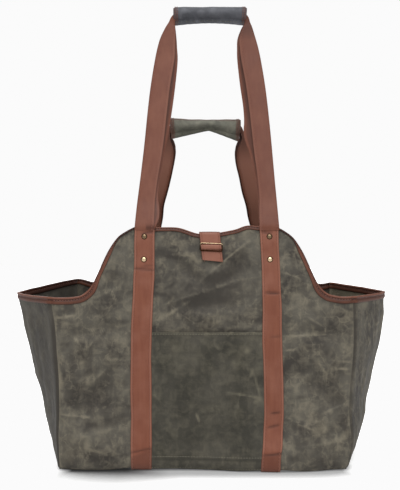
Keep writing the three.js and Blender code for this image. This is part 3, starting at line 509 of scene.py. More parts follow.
def through(keys, values):
    """A smooth function through points, flat beyond the first and the last."""
    keys = np.asarray(keys, float)
    values = np.asarray(values, float)
    slopes = np.gradient(values, keys)

    def at(where):
        where = np.clip(where, keys[0], keys[-1])
        cell = np.clip(np.searchsorted(keys, where) - 1, 0, len(keys) - 2)
        step = keys[cell + 1] - keys[cell]
        t = (where - keys[cell]) / step
        start = (1 + 2 * t) * (1 - t) ** 2 * values[cell] + t * (1 - t) ** 2 * step * slopes[cell]
        end = t * t * (3 - 2 * t) * values[cell + 1] + t * t * (t - 1) * step * slopes[cell + 1]
        return start + end

    return at


face_depth = through(PROFILE["z"], PROFILE["depth"])
hump_rise = through(HUMP["reach"], HUMP["rise"])
crease_out = through(GUSSET["z"], GUSSET["out"])
front_sag = through(FRONT_SAG["x"], FRONT_SAG["drop"])
back_set = through(BACK_SET["x"], BACK_SET["rise"])
base_out = through(BASE_SET["x"], BASE_SET["out"])
base_under = through(BASE_SET["x"], BASE_SET["under"])
base_down = through(BASE_SET["x"], BASE_SET["down"])
seam_set = {key: through(SEAM_SET["z"], values) for key, values in SEAM_SET.items()}


def steps(start, end, size):
    """Evenly spaced values from start to end, about size apart."""
    return np.linspace(start, end, max(2, round(abs(end - start) / size) + 1))


def unit(vectors):
    return vectors / np.linalg.norm(vectors, axis=-1, keepdims=True)


def clouds(points, size, seed):
    """Smooth noise about -1 to 1 at each point, with bumps about size millimetres across."""
    offset = Vector((17.3, 5.1, 9.7)) * seed
    flat = (points / size).reshape(-1, 3).tolist()
    return np.array([noise.noise(Vector(p) + offset) for p in flat]).reshape(points.shape[:-1])


def facets(points, size, seed):
    """Crumpled facets about size millimetres across: a bowl in each, and how near its ridges a point is."""
    offset = Vector((3.7, 11.9, 6.1)) * seed
    flat = (points / size).reshape(-1, 3).tolist()
    near = np.array([noise.voronoi(Vector(p) + offset)[0][:2] for p in flat])
    near = near.reshape(points.shape[:-1] + (2,))
    return near[..., 0] ** 2, near[..., 1] - near[..., 0]


# Panels
def profile(h):
    """Depth, height and outward direction (away, up) at a distance h up a panel from its lower roll."""
    h = np.asarray(h, float)
    angle = math.pi / 2 + np.minimum(h, 0) / EDGE_RADIUS
    z = ROLL_Z + np.maximum(h, 0)
    slope = (face_depth(z + 0.5) - face_depth(z - 0.5)) * (h > 0.5)
    depth = np.where(h < 0, BOTTOM_HALF_DEPTH + EDGE_RADIUS * np.sin(angle), face_depth(z))
    height = np.where(h < 0, ROLL_Z - EDGE_RADIUS * np.cos(angle), z)
    size = np.hypot(1, slope)
    away = np.where(h < 0, np.sin(angle), 1 / size)
    up = np.where(h < 0, -np.cos(angle), -slope / size)
    return depth, height, away, up


def base_set(x, h):
    """How far the front is pushed out and let down at a distance h up it."""
    out = mix(base_out(x), base_under(x), smoothstep(-h, 0, ROLL_LONG)) * smoothstep(-h, -BASE_FADE, 0)
    return out, base_down(x) * smoothstep(-h, -ROLL_LONG, ROLL_LONG)


def base_share(v):
    """How much of that set reaches a gusset or the floor, from 1 at the front (v = -1) to 0."""
    return np.clip(-v, 0, 1) ** BASE_SET_POWER


def on_panel(face, x, h, lift=0.0):
    """Points at x and h on a panel's smooth face, lifted outwards."""
    depth, z, away, up = profile(h)
    if face < 0:
        out, down = base_set(x, h)
        depth = depth + out
        z = z - down
    x, y, z = np.broadcast_arrays(x, face * (depth + away * lift), z + up * lift)
    return np.stack([x, y, z], axis=-1)


def depth_at(z):
    down = np.clip(ROLL_Z - z, 0, EDGE_RADIUS)
    return np.where(z < ROLL_Z, BOTTOM_HALF_DEPTH + np.sqrt(EDGE_RADIUS ** 2 - down ** 2), face_depth(z))


def corner_straight(z):
    return mix(CORNER_BOTTOM, CORNER_TOP, np.clip(z / SHOULDER_Z[-1], 0, 1))


def corner_strayed(face, side, z):
    """How far a corner seam strays outwards from its straight run, at the front only."""
    return np.where(np.asarray(side) < 0, seam_set["left"](z), seam_set["right"](z)) * (np.asarray(face) < 0)


def panel_x(face, spread, z):
    """Where a thread of a panel's cloth runs, and its distance from the nearer corner seam."""
    side = np.sign(spread + 1e-6)
    share = np.abs(spread) / CORNER_TOP
    strayed = corner_strayed(face, side, z)
    reach = share * corner_straight(z) + share ** SEAM_DRAWS * strayed
    return BODY_X + side * reach, corner_straight(z) + strayed - reach


def rim_z(face, x):
    share = (HUMP_TOP_Z - SHOULDER_Z[face]) / HUMP_TOP_RISE
    strayed = -front_sag(x) if face < 0 else back_set(x)
    return SHOULDER_Z[face] + share * hump_rise(np.abs(x - HUMP_X)) + strayed


def rim_distance(face, x, z):
    slope = (rim_z(face, x + 2) - rim_z(face, x - 2)) / 4
    return (rim_z(face, x) - z) / np.hypot(1, slope)


def strap_x(side, z):
    return STRAP_X + side * mix(STRAP_HALF_BOTTOM, STRAP_HALF_TOP, np.clip(z / STRAP_TOP_Z, 0, 1))


def strap_edge(face, side_name, way, z):
    """One edge of a strap: the left one for way -1, the right one for way 1."""
    key = f"{side_name}_left" if way < 0 else f"{side_name}_right"
    strayed = through(STRAP_SET["z"], STRAP_SET[key])(z) * (face < 0)
    return strap_x(SIDES[side_name], z) + way * STRAP_WIDE / 2 + strayed


def gusset_lean(z):
    """How steeply a gusset leaves its corner seams outwards."""
    return crease_out(z) * GUSSET_CREASE_POWER / depth_at(z)


def tuck(side, face, z, off):
    """How the sheets turn in where they are sewn together at a corner, by distance from it."""
    lean = gusset_lean(z)
    size = np.hypot(1, lean)
    inward = np.stack([-side / size, -face * (1 + lean / size), np.zeros_like(size)], axis=-1)
    share = np.clip((SEAM_ROUND - off) / SEAM_ROUND, 0, 1) ** 2
    return unit(inward) * (share * SEAM_TUCK)[..., None]


def patches(table, x, z):
    """Sum of the soft oblong patches of a table at each place."""
    total = np.zeros(np.shape(x))
    for patch_x, patch_z, turn, long, wide, size in zip(*table.values()):
        turn = math.radians(turn)
        along = (x - patch_x) * math.cos(turn) + (z - patch_z) * math.sin(turn)
        across = (z - patch_z) * math.cos(turn) - (x - patch_x) * math.sin(turn)
        total = total + size * np.exp(-((along / long) ** 2) - (across / wide) ** 2)
    return total


def ragged(table, x, z):
    """The same patches with uneven borders and strength."""
    place = np.stack([x, 0 * x, z], axis=-1)
    total = patches(table, x + 4 * clouds(place, 9, 21), z + 4 * clouds(place, 9, 22))
    return total * (1 + 0.6 * clouds(place, 7, 23))


def creases(table, x, z):
    """Height of sharp ridges at each place, and the mark along them: a pale worn line, and painted shade on
    the right slope.
    """
    high = np.zeros(np.shape(x))
    mark = np.zeros(np.shape(x))
    for x0, z0, x1, z1, rise, left, right, wear_light_and_shade in zip(*table.values()):
        long = math.hypot(x1 - x0, z1 - z0)
        ux, uz = (x1 - x0) / long, (z1 - z0) / long
        along = ((x - x0) * ux + (z - z0) * uz) / long
        off = (z - z0) * ux - (x - x0) * uz
        window = smoothstep(along, *CREASE_FADE) * smoothstep(1 - along, *CREASE_FADE)
        slope = np.exp(-np.abs(off) / np.where(off > 0, left, right))
        high = high + rise * window * slope
        line = 0.8 * np.exp(-(off / CREASE_LINE) ** 2) - 0.5 * slope * smoothstep(-off, 0, 5)
        mark = mark + wear_light_and_shade * window * line
    return high, mark * (1 + 0.9 * clouds(np.stack([x, 0 * x, z], axis=-1), 6, 26))


def random_creases(count, low, high, seed):
    """Creases of a sheet from its low corner to its high one."""
    draw = np.random.default_rng(seed)
    rows = []
    for _ in range(count):
        x, z = draw.uniform(low, high)
        turn = draw.choice(CREASE_TURNS) + draw.normal(0, 0.25)
        long = draw.uniform(*CREASE_LONG)
        rise, left, right, wear_light_and_shade = draw.uniform(CREASE_LEAST, CREASE_MOST)
        rows.append((x, z, x + long * math.cos(turn), z + long * math.sin(turn), rise, left, right, wear_light_and_shade))
    return columns(CREASE, rows)


FACE_CREASES = {-1: CREASES, 1: random_creases(BACK_CREASES, *BACK_CREASED, CREASE_SEED)}


def panel_room(face, x, z):
    """1 where a panel is free to dent, 0 under straps and along its edges."""
    room = smoothstep(z, ROLL_Z - 10, ROLL_Z + DENT_FADE)
    room = room * smoothstep(rim_distance(face, x, z), DENT_CLEAR, DENT_CLEAR + DENT_FADE)
    room = room * smoothstep(corner_straight(z) - np.abs(x - BODY_X), 0, DENT_FADE)
    for side in SIDES.values():
        off = np.abs(x - strap_x(side, z)) - STRAP_WIDE / 2
        room = room * smoothstep(off, DENT_CLEAR, DENT_CLEAR + DENT_FADE)
    if face < 0:
        between = np.abs(x - STRAP_X) < STRAP_HALF_TOP
        over_pocket = smoothstep(z, POCKET_TOP_Z + DENT_CLEAR, POCKET_TOP_Z + DENT_CLEAR + DENT_FADE)
        tab_off = np.maximum(np.abs(x - TAB_X) - TAB_WIDE / 2, TAB_END_Z - z)
        room = room * np.where(between, over_pocket * smoothstep(tab_off, 0, DENT_FADE), 1)
    return room


def ridge_wear(ridge, near):
    """1 on the ridges between facets, fading away from them."""
    return smoothstep(near - ridge, 0, near)


def panel_relief(face, x, z):
    """How far a panel's cloth stands off its smooth face, where its wax is worn pale, and its painted light
    and shade.
    """
    room = panel_room(face, x, z)
    high, mark = creases(FACE_CREASES[face], x, z)
    place = np.stack([x, np.full(np.shape(x), face * 130.0), z], axis=-1)
    warped = place + 9 * np.stack([clouds(place, 40, 3), 0 * x, clouds(place, 40, 4)], axis=-1)
    bowls, ridge = facets(warped, FACET, 5 + face)
    small, small_ridge = facets(warped, SMALL_FACET, 9 + face)
    crumpled = smoothstep(clouds(place, CRUMPLED_AREA, 6), *CRUMPLED)
    soft = FACET_DEEP * (bowls - BOWL) - patches(DENTS[face], x, z)
    relief = soft + high + SMALL_FACET_DEEP * crumpled * (small - BOWL)
    relief = relief * room + RIPPLE_HIGH * clouds(place, RIPPLE, 7) * smoothstep(z, 0, ROLL_Z)
    wear_light_and_shade = 0.4 * ridge_wear(ridge, RIDGE_WORN) + 0.25 * ridge_wear(small_ridge, SMALL_RIDGE_WORN)
    # Worn ridges, with painted shade in the dents and painted light on the bulges
    mark = mark + crumpled * wear_light_and_shade + 0.07 * soft * room
    if face < 0:
        mark = mark + ragged(TONES, x, z)
    return relief, mark


def panel_sheet(face):
    """Middle points of a panel's cloth, from under the bag up to the rim, and its worn marks."""
    spread = steps(-CORNER_TOP, CORNER_TOP, SHEET_STEP)[None, :]
    roll = steps(-ROLL_LONG, 0, SHEET_STEP)[:-1, None]
    share = np.linspace(0, 1, PANEL_ROWS)[:, None]
    rim_h = rim_z(face, BODY_X + spread) - ROLL_Z
    h = np.concatenate([np.broadcast_to(roll, (len(roll), spread.size)), share * rim_h])
    _, z, _, _ = profile(h)
    x, off = panel_x(face, spread, z)
    relief, mark = panel_relief(face, x, z)
    points = on_panel(face, x, h, relief)
    side = np.sign(x - BODY_X)
    top = smoothstep(z, *SEAM_PALE_CHANGES)
    pale = np.where(side < 0, mix(*SEAM_PALE[-1], top), mix(*SEAM_PALE[1], top))
    mark = mark + pale * np.exp(-((off / SEAM_PALE_WIDE) ** 2)) * (1 + clouds(points, 16, 24))
    return points + tuck(side, face, z, off), np.clip(mark, -1, 1)


# Gussets
def gusset_rim(side, v):
    corners = [float(rim_z(face, BODY_X + side * CORNER_TOP)) for face in (-1, 1)]
    return through([-1, 0, 1], [corners[0], TIP_Z[side], corners[1]])(v)


def gusset_point(side, v, z):
    out = crease_out(z) - side * GUSSET_SKEW * np.clip(z / TIP_Z[side], 0, 1) ** 2
    reach = mix(out, corner_strayed(v, side, z), np.abs(v) ** GUSSET_CREASE_POWER)
    x = BODY_X + side * (corner_straight(z) + reach)
    out, down = base_set(BODY_X + side * CORNER_BOTTOM, z - ROLL_Z)
    front = base_share(v)
    x, y, z = np.broadcast_arrays(x, v * depth_at(z) - out * front, z - down * front)
    return np.stack([x, y, z], axis=-1)


def gusset_off(v, z):
    """Distance of a place on a gusset from its corner seam."""
    return (1 - np.abs(v)) * depth_at(z) * np.hypot(1, gusset_lean(z))


def gusset_relief(side, v, z, off, points):
    """How far a gusset's cloth stands off its smooth form, where its wax is worn pale, and painted light and
    shade along its folds.
    """
    room = smoothstep(off, 0, 30) * smoothstep(z, BOTTOM_Z, 50) * smoothstep(gusset_rim(side, v) - z, 10, 36)
    table = random_creases(GUSSET_CREASES, *GUSSET_CREASED, CREASE_SEED + side)
    high, mark = creases(table, points[..., 1], z)
    bowls, ridge = facets(points + 8 * clouds(points, 45, 2)[..., None], GUSSET_FACET, 20 + side)
    slack = mix(*GUSSET_SLACK[side], np.clip(z / SHOULDER_Z[-1], 0, 1))
    folds = clouds(points * FOLD_DRAWN, FOLD, 31 + side)
    relief = room * (high + GUSSET_FACET_DEEP * (bowls - BOWL) + FOLD_HIGH * folds - slack)
    crumpled = smoothstep(clouds(points, CRUMPLED_AREA, 6), *CRUMPLED)
    mark = mark + 0.4 * crumpled * ridge_wear(ridge, RIDGE_WORN) + 0.3 * folds * room
    return relief + RIPPLE_HIGH * clouds(points, RIPPLE, 7), mark


def gusset_tone(side, v, z, off, points):
    """Painted light and shade of a gusset's two sides: patches, shade and a shadow line along the front seam,
    the inner back corner.
    """
    seam = SEAM_SHADE[side] * np.exp(-(((off - SEAM_SHADE_OFF) / SEAM_SHADE_WIDE) ** 2))
    seam = seam * (1 + clouds(points, 40, 25))
    line = seam_set["left_dark" if side < 0 else "right_dark"](z)
    line = line * np.exp(-(((off - SEAM_LINE_OFF) / SEAM_LINE_WIDE) ** 2))
    inside = np.array([side < 0, side > 0])[:, None, None]
    corner = inside * BACK_PALE[side] * smoothstep(v, 0.15, 0.6) * smoothstep(z, 230, 262)
    return patches(GUSSET_TONES[side], points[..., 1], z) - (seam + line) * (v < 0) + corner


def gusset_sheet(side):
    """Middle points of a gusset's cloth, and the worn marks of its two sides."""
    v = np.linspace(-1, 1, GUSSET_COLUMNS)[None, :]
    angle = np.linspace(0, math.pi / 2, GUSSET_ROLL_ROWS)[:-1, None]
    roll = np.broadcast_to(ROLL_Z - EDGE_RADIUS * np.cos(angle), (len(angle), v.size))
    share = np.linspace(0, 1, GUSSET_ROWS)[:, None]
    z = np.concatenate([roll, mix(ROLL_Z, gusset_rim(side, v), share)])
    points = gusset_point(side, v, z)
    off = gusset_off(v, z)
    relief, mark = gusset_relief(side, v, z, off, points)
    mark = mark + gusset_tone(side, v, z, off, points)
    normals = grid_normals(points)
    normals = normals * np.sign(np.sum(normals[..., 0] * side))
    points = points + normals * relief[..., None]
    face = np.sign(v + 1e-9) * np.ones_like(z)
    return points + tuck(side * np.ones_like(z), face, z, off), np.clip(mark, -1, 1)


# Mesh makers
def grid_normals(grid):
    along = np.gradient(grid, axis=0)
    across = np.gradient(grid, axis=1)
    return unit(np.cross(across, along))


def grid_faces(rows, count, closed=False):
    """Quads of a grid of rows, joined round where each row is a closed ring."""
    i, j = np.meshgrid(np.arange(rows - 1), np.arange(count if closed else count - 1), indexing="ij")
    k = (j + 1) % count
    quads = np.stack([i * count + j, i * count + k, (i + 1) * count + k, (i + 1) * count + j], axis=-1)
    return quads.reshape(-1, 4)


def new_object(name, data):
    made = bpy.data.objects.new(name, data)
    bpy.context.scene.collection.objects.link(made)
    return made


def make_piece(name, points, faces, material, marks=None, sharp=40):
    """An object with its place in its mesh, faces outwards and shading smooth up to an angle."""
    points = points.reshape(-1, 3)
    first, second, third = points[np.array([face[:3] for face in faces]).T]
    if np.sum(first * np.cross(second, third)) < 0:
        faces = [face[::-1] for face in faces]
    mesh = bpy.data.meshes.new(name)
    mesh.from_pydata((points * MM).tolist(), [], faces)
    for key, values in (marks or {}).items():
        store = mesh.attributes.new(key, "FLOAT", "POINT")
        store.data.foreach_set("value", np.ravel(values).astype(np.float32))
    mesh.materials.append(material)
    mesh.shade_smooth()
    mesh.set_sharp_from_angle(angle=math.radians(sharp))
    return new_object(name, mesh)


def make_wall(name, grid, thick, material, marks=None):
    """A closed wall round a grid of middle points.

    thick may vary over the grid, and marks over its two sides.
    """
    rows, count = grid.shape[:2]
    half = (np.broadcast_to(thick, (rows, count)) / 2)[..., None] * grid_normals(grid)
    points = np.concatenate([(grid + half).reshape(-1, 3), (grid - half).reshape(-1, 3)])
    size = rows * count
    outer = grid_faces(rows, count)
    ids = np.arange(size).reshape(rows, count)
    border = np.concatenate([ids[0], ids[1:, -1], ids[-1, -2::-1], ids[-2:0:-1, 0]])
    after = np.roll(border, -1)
    rim = np.stack([after, border, border + size, after + size], axis=-1)
    faces = np.concatenate([outer, outer[:, ::-1] + size, rim]).tolist()
    doubled = {key: np.broadcast_to(values, (2, rows, count)) for key, values in (marks or {}).items()}
    return make_piece(name, points, faces, material, doubled)


def make_loft(name, rings, material, marks=None, closed=False, sharp=40):
    """A closed skin over rings of points, with flat ends unless it runs round to its start."""
    rows, count = rings.shape[:2]
    if closed:
        faces = (grid_faces(rows + 1, count, True) % (rows * count)).tolist()
    else:
        last = (rows - 1) * count
        faces = grid_faces(rows, count, True).tolist()
        faces += [list(range(count))[::-1], list(range(last, last + count))]
    return make_piece(name, rings, faces, material, marks, sharp)


def finish_piece(piece, slot, *nodes):
    """Rides the piece on the bag and shows it in place of its solids."""
    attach(piece, "root")
    if nodes:
        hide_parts(*nodes)
    return piece


# Materials
# Brown that leather leaves on cloth, and the waves of a wave pattern over one unit at scale 1
LEATHER_STAIN = "#5c4038"
WAVES_AT_SCALE_1 = 3.2


def linear(colour):
    """An sRGB hex colour as linear RGBA."""
    parts = [int(colour[n:n + 2], 16) / 255 for n in (1, 3, 5)]
    return tuple(p / 12.92 if p <= 0.04045 else ((p + 0.055) / 1.055) ** 2.4 for p in parts) + (1.0,)


def put(tree, kind, inputs=(), **settings):
    """Adds a node with its settings, and sets or links its inputs, given as pairs of socket and value."""
    made = tree.nodes.new(kind)
    for key, value in settings.items():
        setattr(made, key, value)
    for key, value in inputs:
        if isinstance(value, bpy.types.NodeSocket):
            tree.links.new(value, made.inputs[key])
        else:
            made.inputs[key].default_value = value
    return made


def new_material(name):
    """A material with only a Principled shader, and its tree."""
    material = bpy.data.materials.new(name)
    material.use_nodes = True
    return material, material.node_tree, material.node_tree.nodes["Principled BSDF"]


def waxed_canvas(name, deep, base, pale, wear, crackle):
    """Heavy cotton duck soaked in wax: dull and blotchy, rubbed along both threads, pale where creased."""
    material, tree, shader = new_material(name)
    place = put(tree, "ShaderNodeTexCoord").outputs["Object"]
    # Blotches of wax 45 mm across, scuffs of 14 mm and rubbed streaks 7 mm wide
    blotch = put(tree, "ShaderNodeTexNoise", [("Vector", place), ("Scale", 1 / (45 * MM)), ("Detail", 4.0)])
    scuff = put(tree, "ShaderNodeTexNoise", [
        ("Vector", place), ("Scale", 1 / (14 * MM)), ("Detail", 5.0), ("Roughness", 0.6),
        ("Distortion", 0.4)])
    brushed = []
    for stretch in ((1.0, 1.0, 0.22), (0.22, 1.0, 1.0)):
        drawn = put(tree, "ShaderNodeMapping", [("Vector", place), ("Scale", stretch)])
        brushed.append(put(tree, "ShaderNodeTexNoise", [
            ("Vector", drawn.outputs[0]), ("Scale", 1 / (7 * MM)), ("Detail", 3.0)]).outputs["Fac"])
    brush = put(tree, "ShaderNodeMath", [(0, brushed[0]), (1, brushed[1])])
    wear_and_sheen = put(tree, "ShaderNodeMath", [(0, brush.outputs[0]), (1, 0.3), (2, scuff.outputs["Fac"])],
                 operation="MULTIPLY_ADD")
    cloud_share = put(tree, "ShaderNodeMapRange", [
        ("Value", blotch.outputs["Fac"]), ("From Min", 0.36), ("From Max", 0.64)])
    rub_share = put(tree, "ShaderNodeMapRange", [
        ("Value", wear_and_sheen.outputs[0]), ("From Min", 0.74), ("From Max", 1.08), ("To Max", wear)])
    # Crackled wax: a web of fine pale lines about 24 mm apart, in patches
    bent = put(tree, "ShaderNodeMix", [
        ("Factor", 0.018), (4, place), (5, scuff.outputs["Color"])], data_type="VECTOR", blend_type="MIX")
    web = put(tree, "ShaderNodeTexVoronoi", [("Vector", bent.outputs[1]), ("Scale", 1 / (24 * MM))],
              feature="DISTANCE_TO_EDGE")
    fine = put(tree, "ShaderNodeMapRange", [
        ("Value", web.outputs["Distance"]), ("From Min", 0.0), ("From Max", 0.07),
        ("To Min", crackle), ("To Max", 0.0)])
    patchy = put(tree, "ShaderNodeMapRange", [
        ("Value", brushed[0]), ("From Min", 0.42), ("From Max", 0.62)])
    webbed = put(tree, "ShaderNodeMath", [(0, fine.outputs[0]), (1, patchy.outputs[0])], operation="MULTIPLY")
    # Pale where the wax is worn and where light is painted, dark below 0 where shade is painted, and stained
    # brown where it touches the leather
    wear_light_and_shade = put(tree, "ShaderNodeAttribute", attribute_name="wear_light_and_shade")
    pale_share = put(tree, "ShaderNodeMapRange", [("Value", wear_light_and_shade.outputs["Fac"]), ("To Max", 0.8)])
    deep_share = put(tree, "ShaderNodeMapRange", [
        ("Value", wear_light_and_shade.outputs["Fac"]), ("From Min", 0.0), ("From Max", -1.0), ("To Max", 0.9)])
    stain = put(tree, "ShaderNodeAttribute", attribute_name="stain")
    layers = ((cloud_share.outputs[0], base), (rub_share.outputs[0], pale), (webbed.outputs[0], pale),
              (pale_share.outputs[0], pale), (deep_share.outputs[0], deep),
              (stain.outputs["Fac"], LEATHER_STAIN))
    colour = linear(deep)
    for share, tint in layers:
        colour = put(tree, "ShaderNodeMix", [("Factor", share), (6, colour), (7, linear(tint))],
                     data_type="RGBA").outputs[2]
    tree.links.new(colour, shader.inputs["Base Color"])
    # Threads of 0.7 mm, drawn at 1.8 mm so that the weave shows
    threads = [put(tree, "ShaderNodeTexWave", [
        ("Vector", place), ("Scale", 1 / (1.8 * MM) / WAVES_AT_SCALE_1), ("Distortion", 0.6)],
        bands_direction=way) for way in "XZ"]
    weave = put(tree, "ShaderNodeMath", [(0, threads[0].outputs["Fac"]), (1, threads[1].outputs["Fac"])])
    weave_bump = put(tree, "ShaderNodeBump", [
        ("Height", weave.outputs[0]), ("Strength", 0.16), ("Distance", 0.4 * MM)])
    scuff_bump = put(tree, "ShaderNodeBump", [
        ("Height", scuff.outputs["Fac"]), ("Strength", 0.45), ("Distance", 2.5 * MM),
        ("Normal", weave_bump.outputs[0])])
    tree.links.new(scuff_bump.outputs[0], shader.inputs["Normal"])
    shine = put(tree, "ShaderNodeMapRange", [
        ("Value", blotch.outputs["Fac"]), ("From Min", 0.3), ("From Max", 0.7),
        ("To Min", 0.55), ("To Max", 0.72)])
    tree.links.new(shine.outputs[0], shader.inputs["Roughness"])
    shader.inputs["Specular IOR Level"].default_value = 0.22
    return material


def strap_hide(name, shadow, deep, base, pale, roughness):
    """Vegetable-tanned cowhide strapping: satin, with fine grain and faint streaks, with painted sheen on its
    edges and painted shade.
    """
    material, tree, shader = new_material(name)
    place = put(tree, "ShaderNodeTexCoord").outputs["Object"]
    # Streaks 6 mm wide along the strap, and tones 35 mm across
    drawn = put(tree, "ShaderNodeMapping", [("Vector", place), ("Scale", (1.0, 1.0, 0.12))])
    streak = put(tree, "ShaderNodeTexNoise", [
        ("Vector", drawn.outputs[0]), ("Scale", 1 / (6 * MM)), ("Detail", 3.0)])
    tone = put(tree, "ShaderNodeTexNoise", [("Vector", place), ("Scale", 1 / (35 * MM)), ("Detail", 3.0)])
    streak_share = put(tree, "ShaderNodeMapRange", [
        ("Value", streak.outputs["Fac"]), ("From Min", 0.3), ("From Max", 0.7)])
    tone_share = put(tree, "ShaderNodeMapRange", [
        ("Value", tone.outputs["Fac"]), ("From Min", 0.45), ("From Max", 0.8), ("To Max", 0.35)])
    # Painted sheen where the edge mark is high, and painted shade towards the shadow colour where the shade
    # mark is
    edge = put(tree, "ShaderNodeAttribute", attribute_name="edge")
    wear_and_sheen = put(tree, "ShaderNodeMath", [(0, edge.outputs["Fac"]), (1, 0.6)], operation="MULTIPLY")
    shade = put(tree, "ShaderNodeAttribute", attribute_name="shade")
    layers = ((streak_share.outputs[0], base), (tone_share.outputs[0], pale), (wear_and_sheen.outputs[0], pale),
              (shade.outputs["Fac"], shadow))
    colour = linear(deep)
    for share, tint in layers:
        colour = put(tree, "ShaderNodeMix", [("Factor", share), (6, colour), (7, linear(tint))],
                     data_type="RGBA").outputs[2]
    tree.links.new(colour, shader.inputs["Base Color"])
    shader.inputs["Specular IOR Level"].default_value = 0.28
    # Pores of 0.3 mm, drawn at 1.1 mm so that the grain shows
    grain = put(tree, "ShaderNodeTexVoronoi", [("Vector", place), ("Scale", 1 / (1.1 * MM))])
    bump = put(tree, "ShaderNodeBump", [
        ("Height", grain.outputs["Distance"]), ("Strength", 0.12), ("Distance", 0.3 * MM)])
    tree.links.new(bump.outputs[0], shader.inputs["Normal"])
    shine = put(tree, "ShaderNodeMapRange", [
        ("Value", tone.outputs["Fac"]), ("From Min", 0.3), ("From Max", 0.7),
        ("To Min", roughness - 0.07), ("To Max", roughness + 0.07)])
    tree.links.new(shine.outputs[0], shader.inputs["Roughness"])
    return material


def polished_brass():
    """Cast brass hardware, polished and handled: warm metal with duller patches, darker where marked: painted
    shade on the slide and round the rivet caps, and the upper rivets darker.
    """
    material, tree, shader = new_material("polished_brass")
    place = put(tree, "ShaderNodeTexCoord").outputs["Object"]
    dull = put(tree, "ShaderNodeTexNoise", [("Vector", place), ("Scale", 1 / (4 * MM)), ("Detail", 3.0)])
    colour = put(tree, "ShaderNodeMix", [
        ("Factor", dull.outputs["Fac"]), (6, linear("#f6e2c0")), (7, linear("#cfa877"))], data_type="RGBA")
    brass_darkening = put(tree, "ShaderNodeAttribute", attribute_name="brass_darkening")
    aged = put(tree, "ShaderNodeMix", [
        ("Factor", brass_darkening.outputs["Fac"]), (6, colour.outputs[2]), (7, linear("#3a2414"))], data_type="RGBA")
    tree.links.new(aged.outputs[2], shader.inputs["Base Color"])
    shine = put(tree, "ShaderNodeMapRange", [
        ("Value", dull.outputs["Fac"]), ("To Min", 0.25), ("To Max", 0.5)])
    tree.links.new(shine.outputs[0], shader.inputs["Roughness"])
    shader.inputs["Metallic"].default_value = 1.0
    return material


def bonded_thread(name, base, pale):
    """Heavy bonded polyester thread: satin, with its twist of 1.2 mm just showing."""
    material, tree, shader = new_material(name)
    place = put(tree, "ShaderNodeTexCoord").outputs["Object"]
    twist = put(tree, "ShaderNodeTexNoise", [("Vector", place), ("Scale", 1 / (1.2 * MM)), ("Detail", 2.0)])
    colour = put(tree, "ShaderNodeMix", [
        ("Factor", twist.outputs["Fac"]), (6, linear(base)), (7, linear(pale))], data_type="RGBA")
    tree.links.new(colour.outputs[2], shader.inputs["Base Color"])
    shader.inputs["Roughness"].default_value = 0.55
    return material


CANVAS_CLOTH = waxed_canvas("waxed_canvas", "#393530", "#5b574e", "#877f6d", 0.5, 0.32)
GUSSET_CLOTH = waxed_canvas("waxed_canvas_gusset", "#393530", "#5c5850", "#7f7a6b", 0.3, 0.28)
POCKET_CLOTH = waxed_canvas("waxed_canvas_smooth", "#35332c", "#4a473f", "#76705f", 0.35, 0.08)
SLEEVE_CLOTH = waxed_canvas("waxed_canvas_sleeve", "#47484d", "#595a5f", "#7b7c82", 0.4, 0.1)
BACK_SLEEVE_CLOTH = waxed_canvas("waxed_canvas_back_sleeve", "#53544c", "#76756a", "#979585", 0.5, 0.1)
STRAP_HIDE = strap_hide("cowhide_strap", "#3a2019", "#724130", "#7b4936", "#976857", 0.5)
BINDING_HIDE = strap_hide("cowhide_binding", "#27130f", "#4c2c20", "#5c3627", "#794b3a", 0.5)
BRASS = polished_brass()
BROWN_THREAD = bonded_thread("bonded_thread_brown", "#63382b", "#875646")
OLIVE_THREAD = bonded_thread("bonded_thread_olive", "#5d594c", "#7a7562")


# Geometry nodes
def new_tree(name, inputs):
    """A tree with named inputs of given kinds, with their identifiers and their sockets inside it."""
    tree = bpy.data.node_groups.new(name, "GeometryNodeTree")
    tree.interface.new_socket("Pieces", in_out="OUTPUT", socket_type="NodeSocketGeometry")
    ids = {}
    for key, kind in inputs:
        socket = tree.interface.new_socket(key, in_out="INPUT", socket_type="NodeSocket" + kind)
        ids[key] = socket.identifier
    return tree, ids, put(tree, "NodeGroupInput").outputs


def end_tree(tree, pieces, finish):
    """Makes the repeated pieces real, shades them smooth and gives them their material."""
    real = put(tree, "GeometryNodeRealizeInstances", [("Geometry", pieces)])
    smooth = put(tree, "GeometryNodeSetShadeSmooth", [("Geometry", real.outputs[0])])
    painted = put(tree, "GeometryNodeSetMaterial", [("Geometry", smooth.outputs[0]), ("Material", finish)])
    put(tree, "NodeGroupOutput", [(0, painted.outputs[0])])


def stitch_tree():
    """Thread stitches along seam lines: a slim bead every pitch, lying along the line."""
    tree, ids, given = new_tree("stitch_row", (
        ("Seam", "Geometry"), ("Pitch", "Float"), ("Length", "Float"), ("Thread", "Float"),
        ("Finish", "Material")))
    line = put(tree, "GeometryNodeMeshToCurve", [("Mesh", given["Seam"])])
    spaced = put(tree, "GeometryNodeResampleCurve", [("Curve", line.outputs[0]), ("Length", given["Pitch"])],
                 mode="LENGTH")
    way = put(tree, "GeometryNodeInputTangent")
    turn = put(tree, "FunctionNodeAlignRotationToVector", [("Vector", way.outputs[0])], axis="X")
    half = put(tree, "ShaderNodeMath", [(0, given["Length"]), (1, 0.5)], operation="MULTIPLY")
    size = put(tree, "ShaderNodeCombineXYZ", [
        (0, half.outputs[0]), (1, given["Thread"]), (2, given["Thread"])])
    bead = put(tree, "GeometryNodeMeshUVSphere", [("Segments", 6), ("Rings", 5), ("Radius", 1.0)])
    beads = put(tree, "GeometryNodeInstanceOnPoints", [
        ("Points", spaced.outputs[0]), ("Instance", bead.outputs[0]), ("Rotation", turn.outputs[0]),
        ("Scale", size.outputs[0])])
    end_tree(tree, beads.outputs[0], given["Finish"])
    return tree, ids


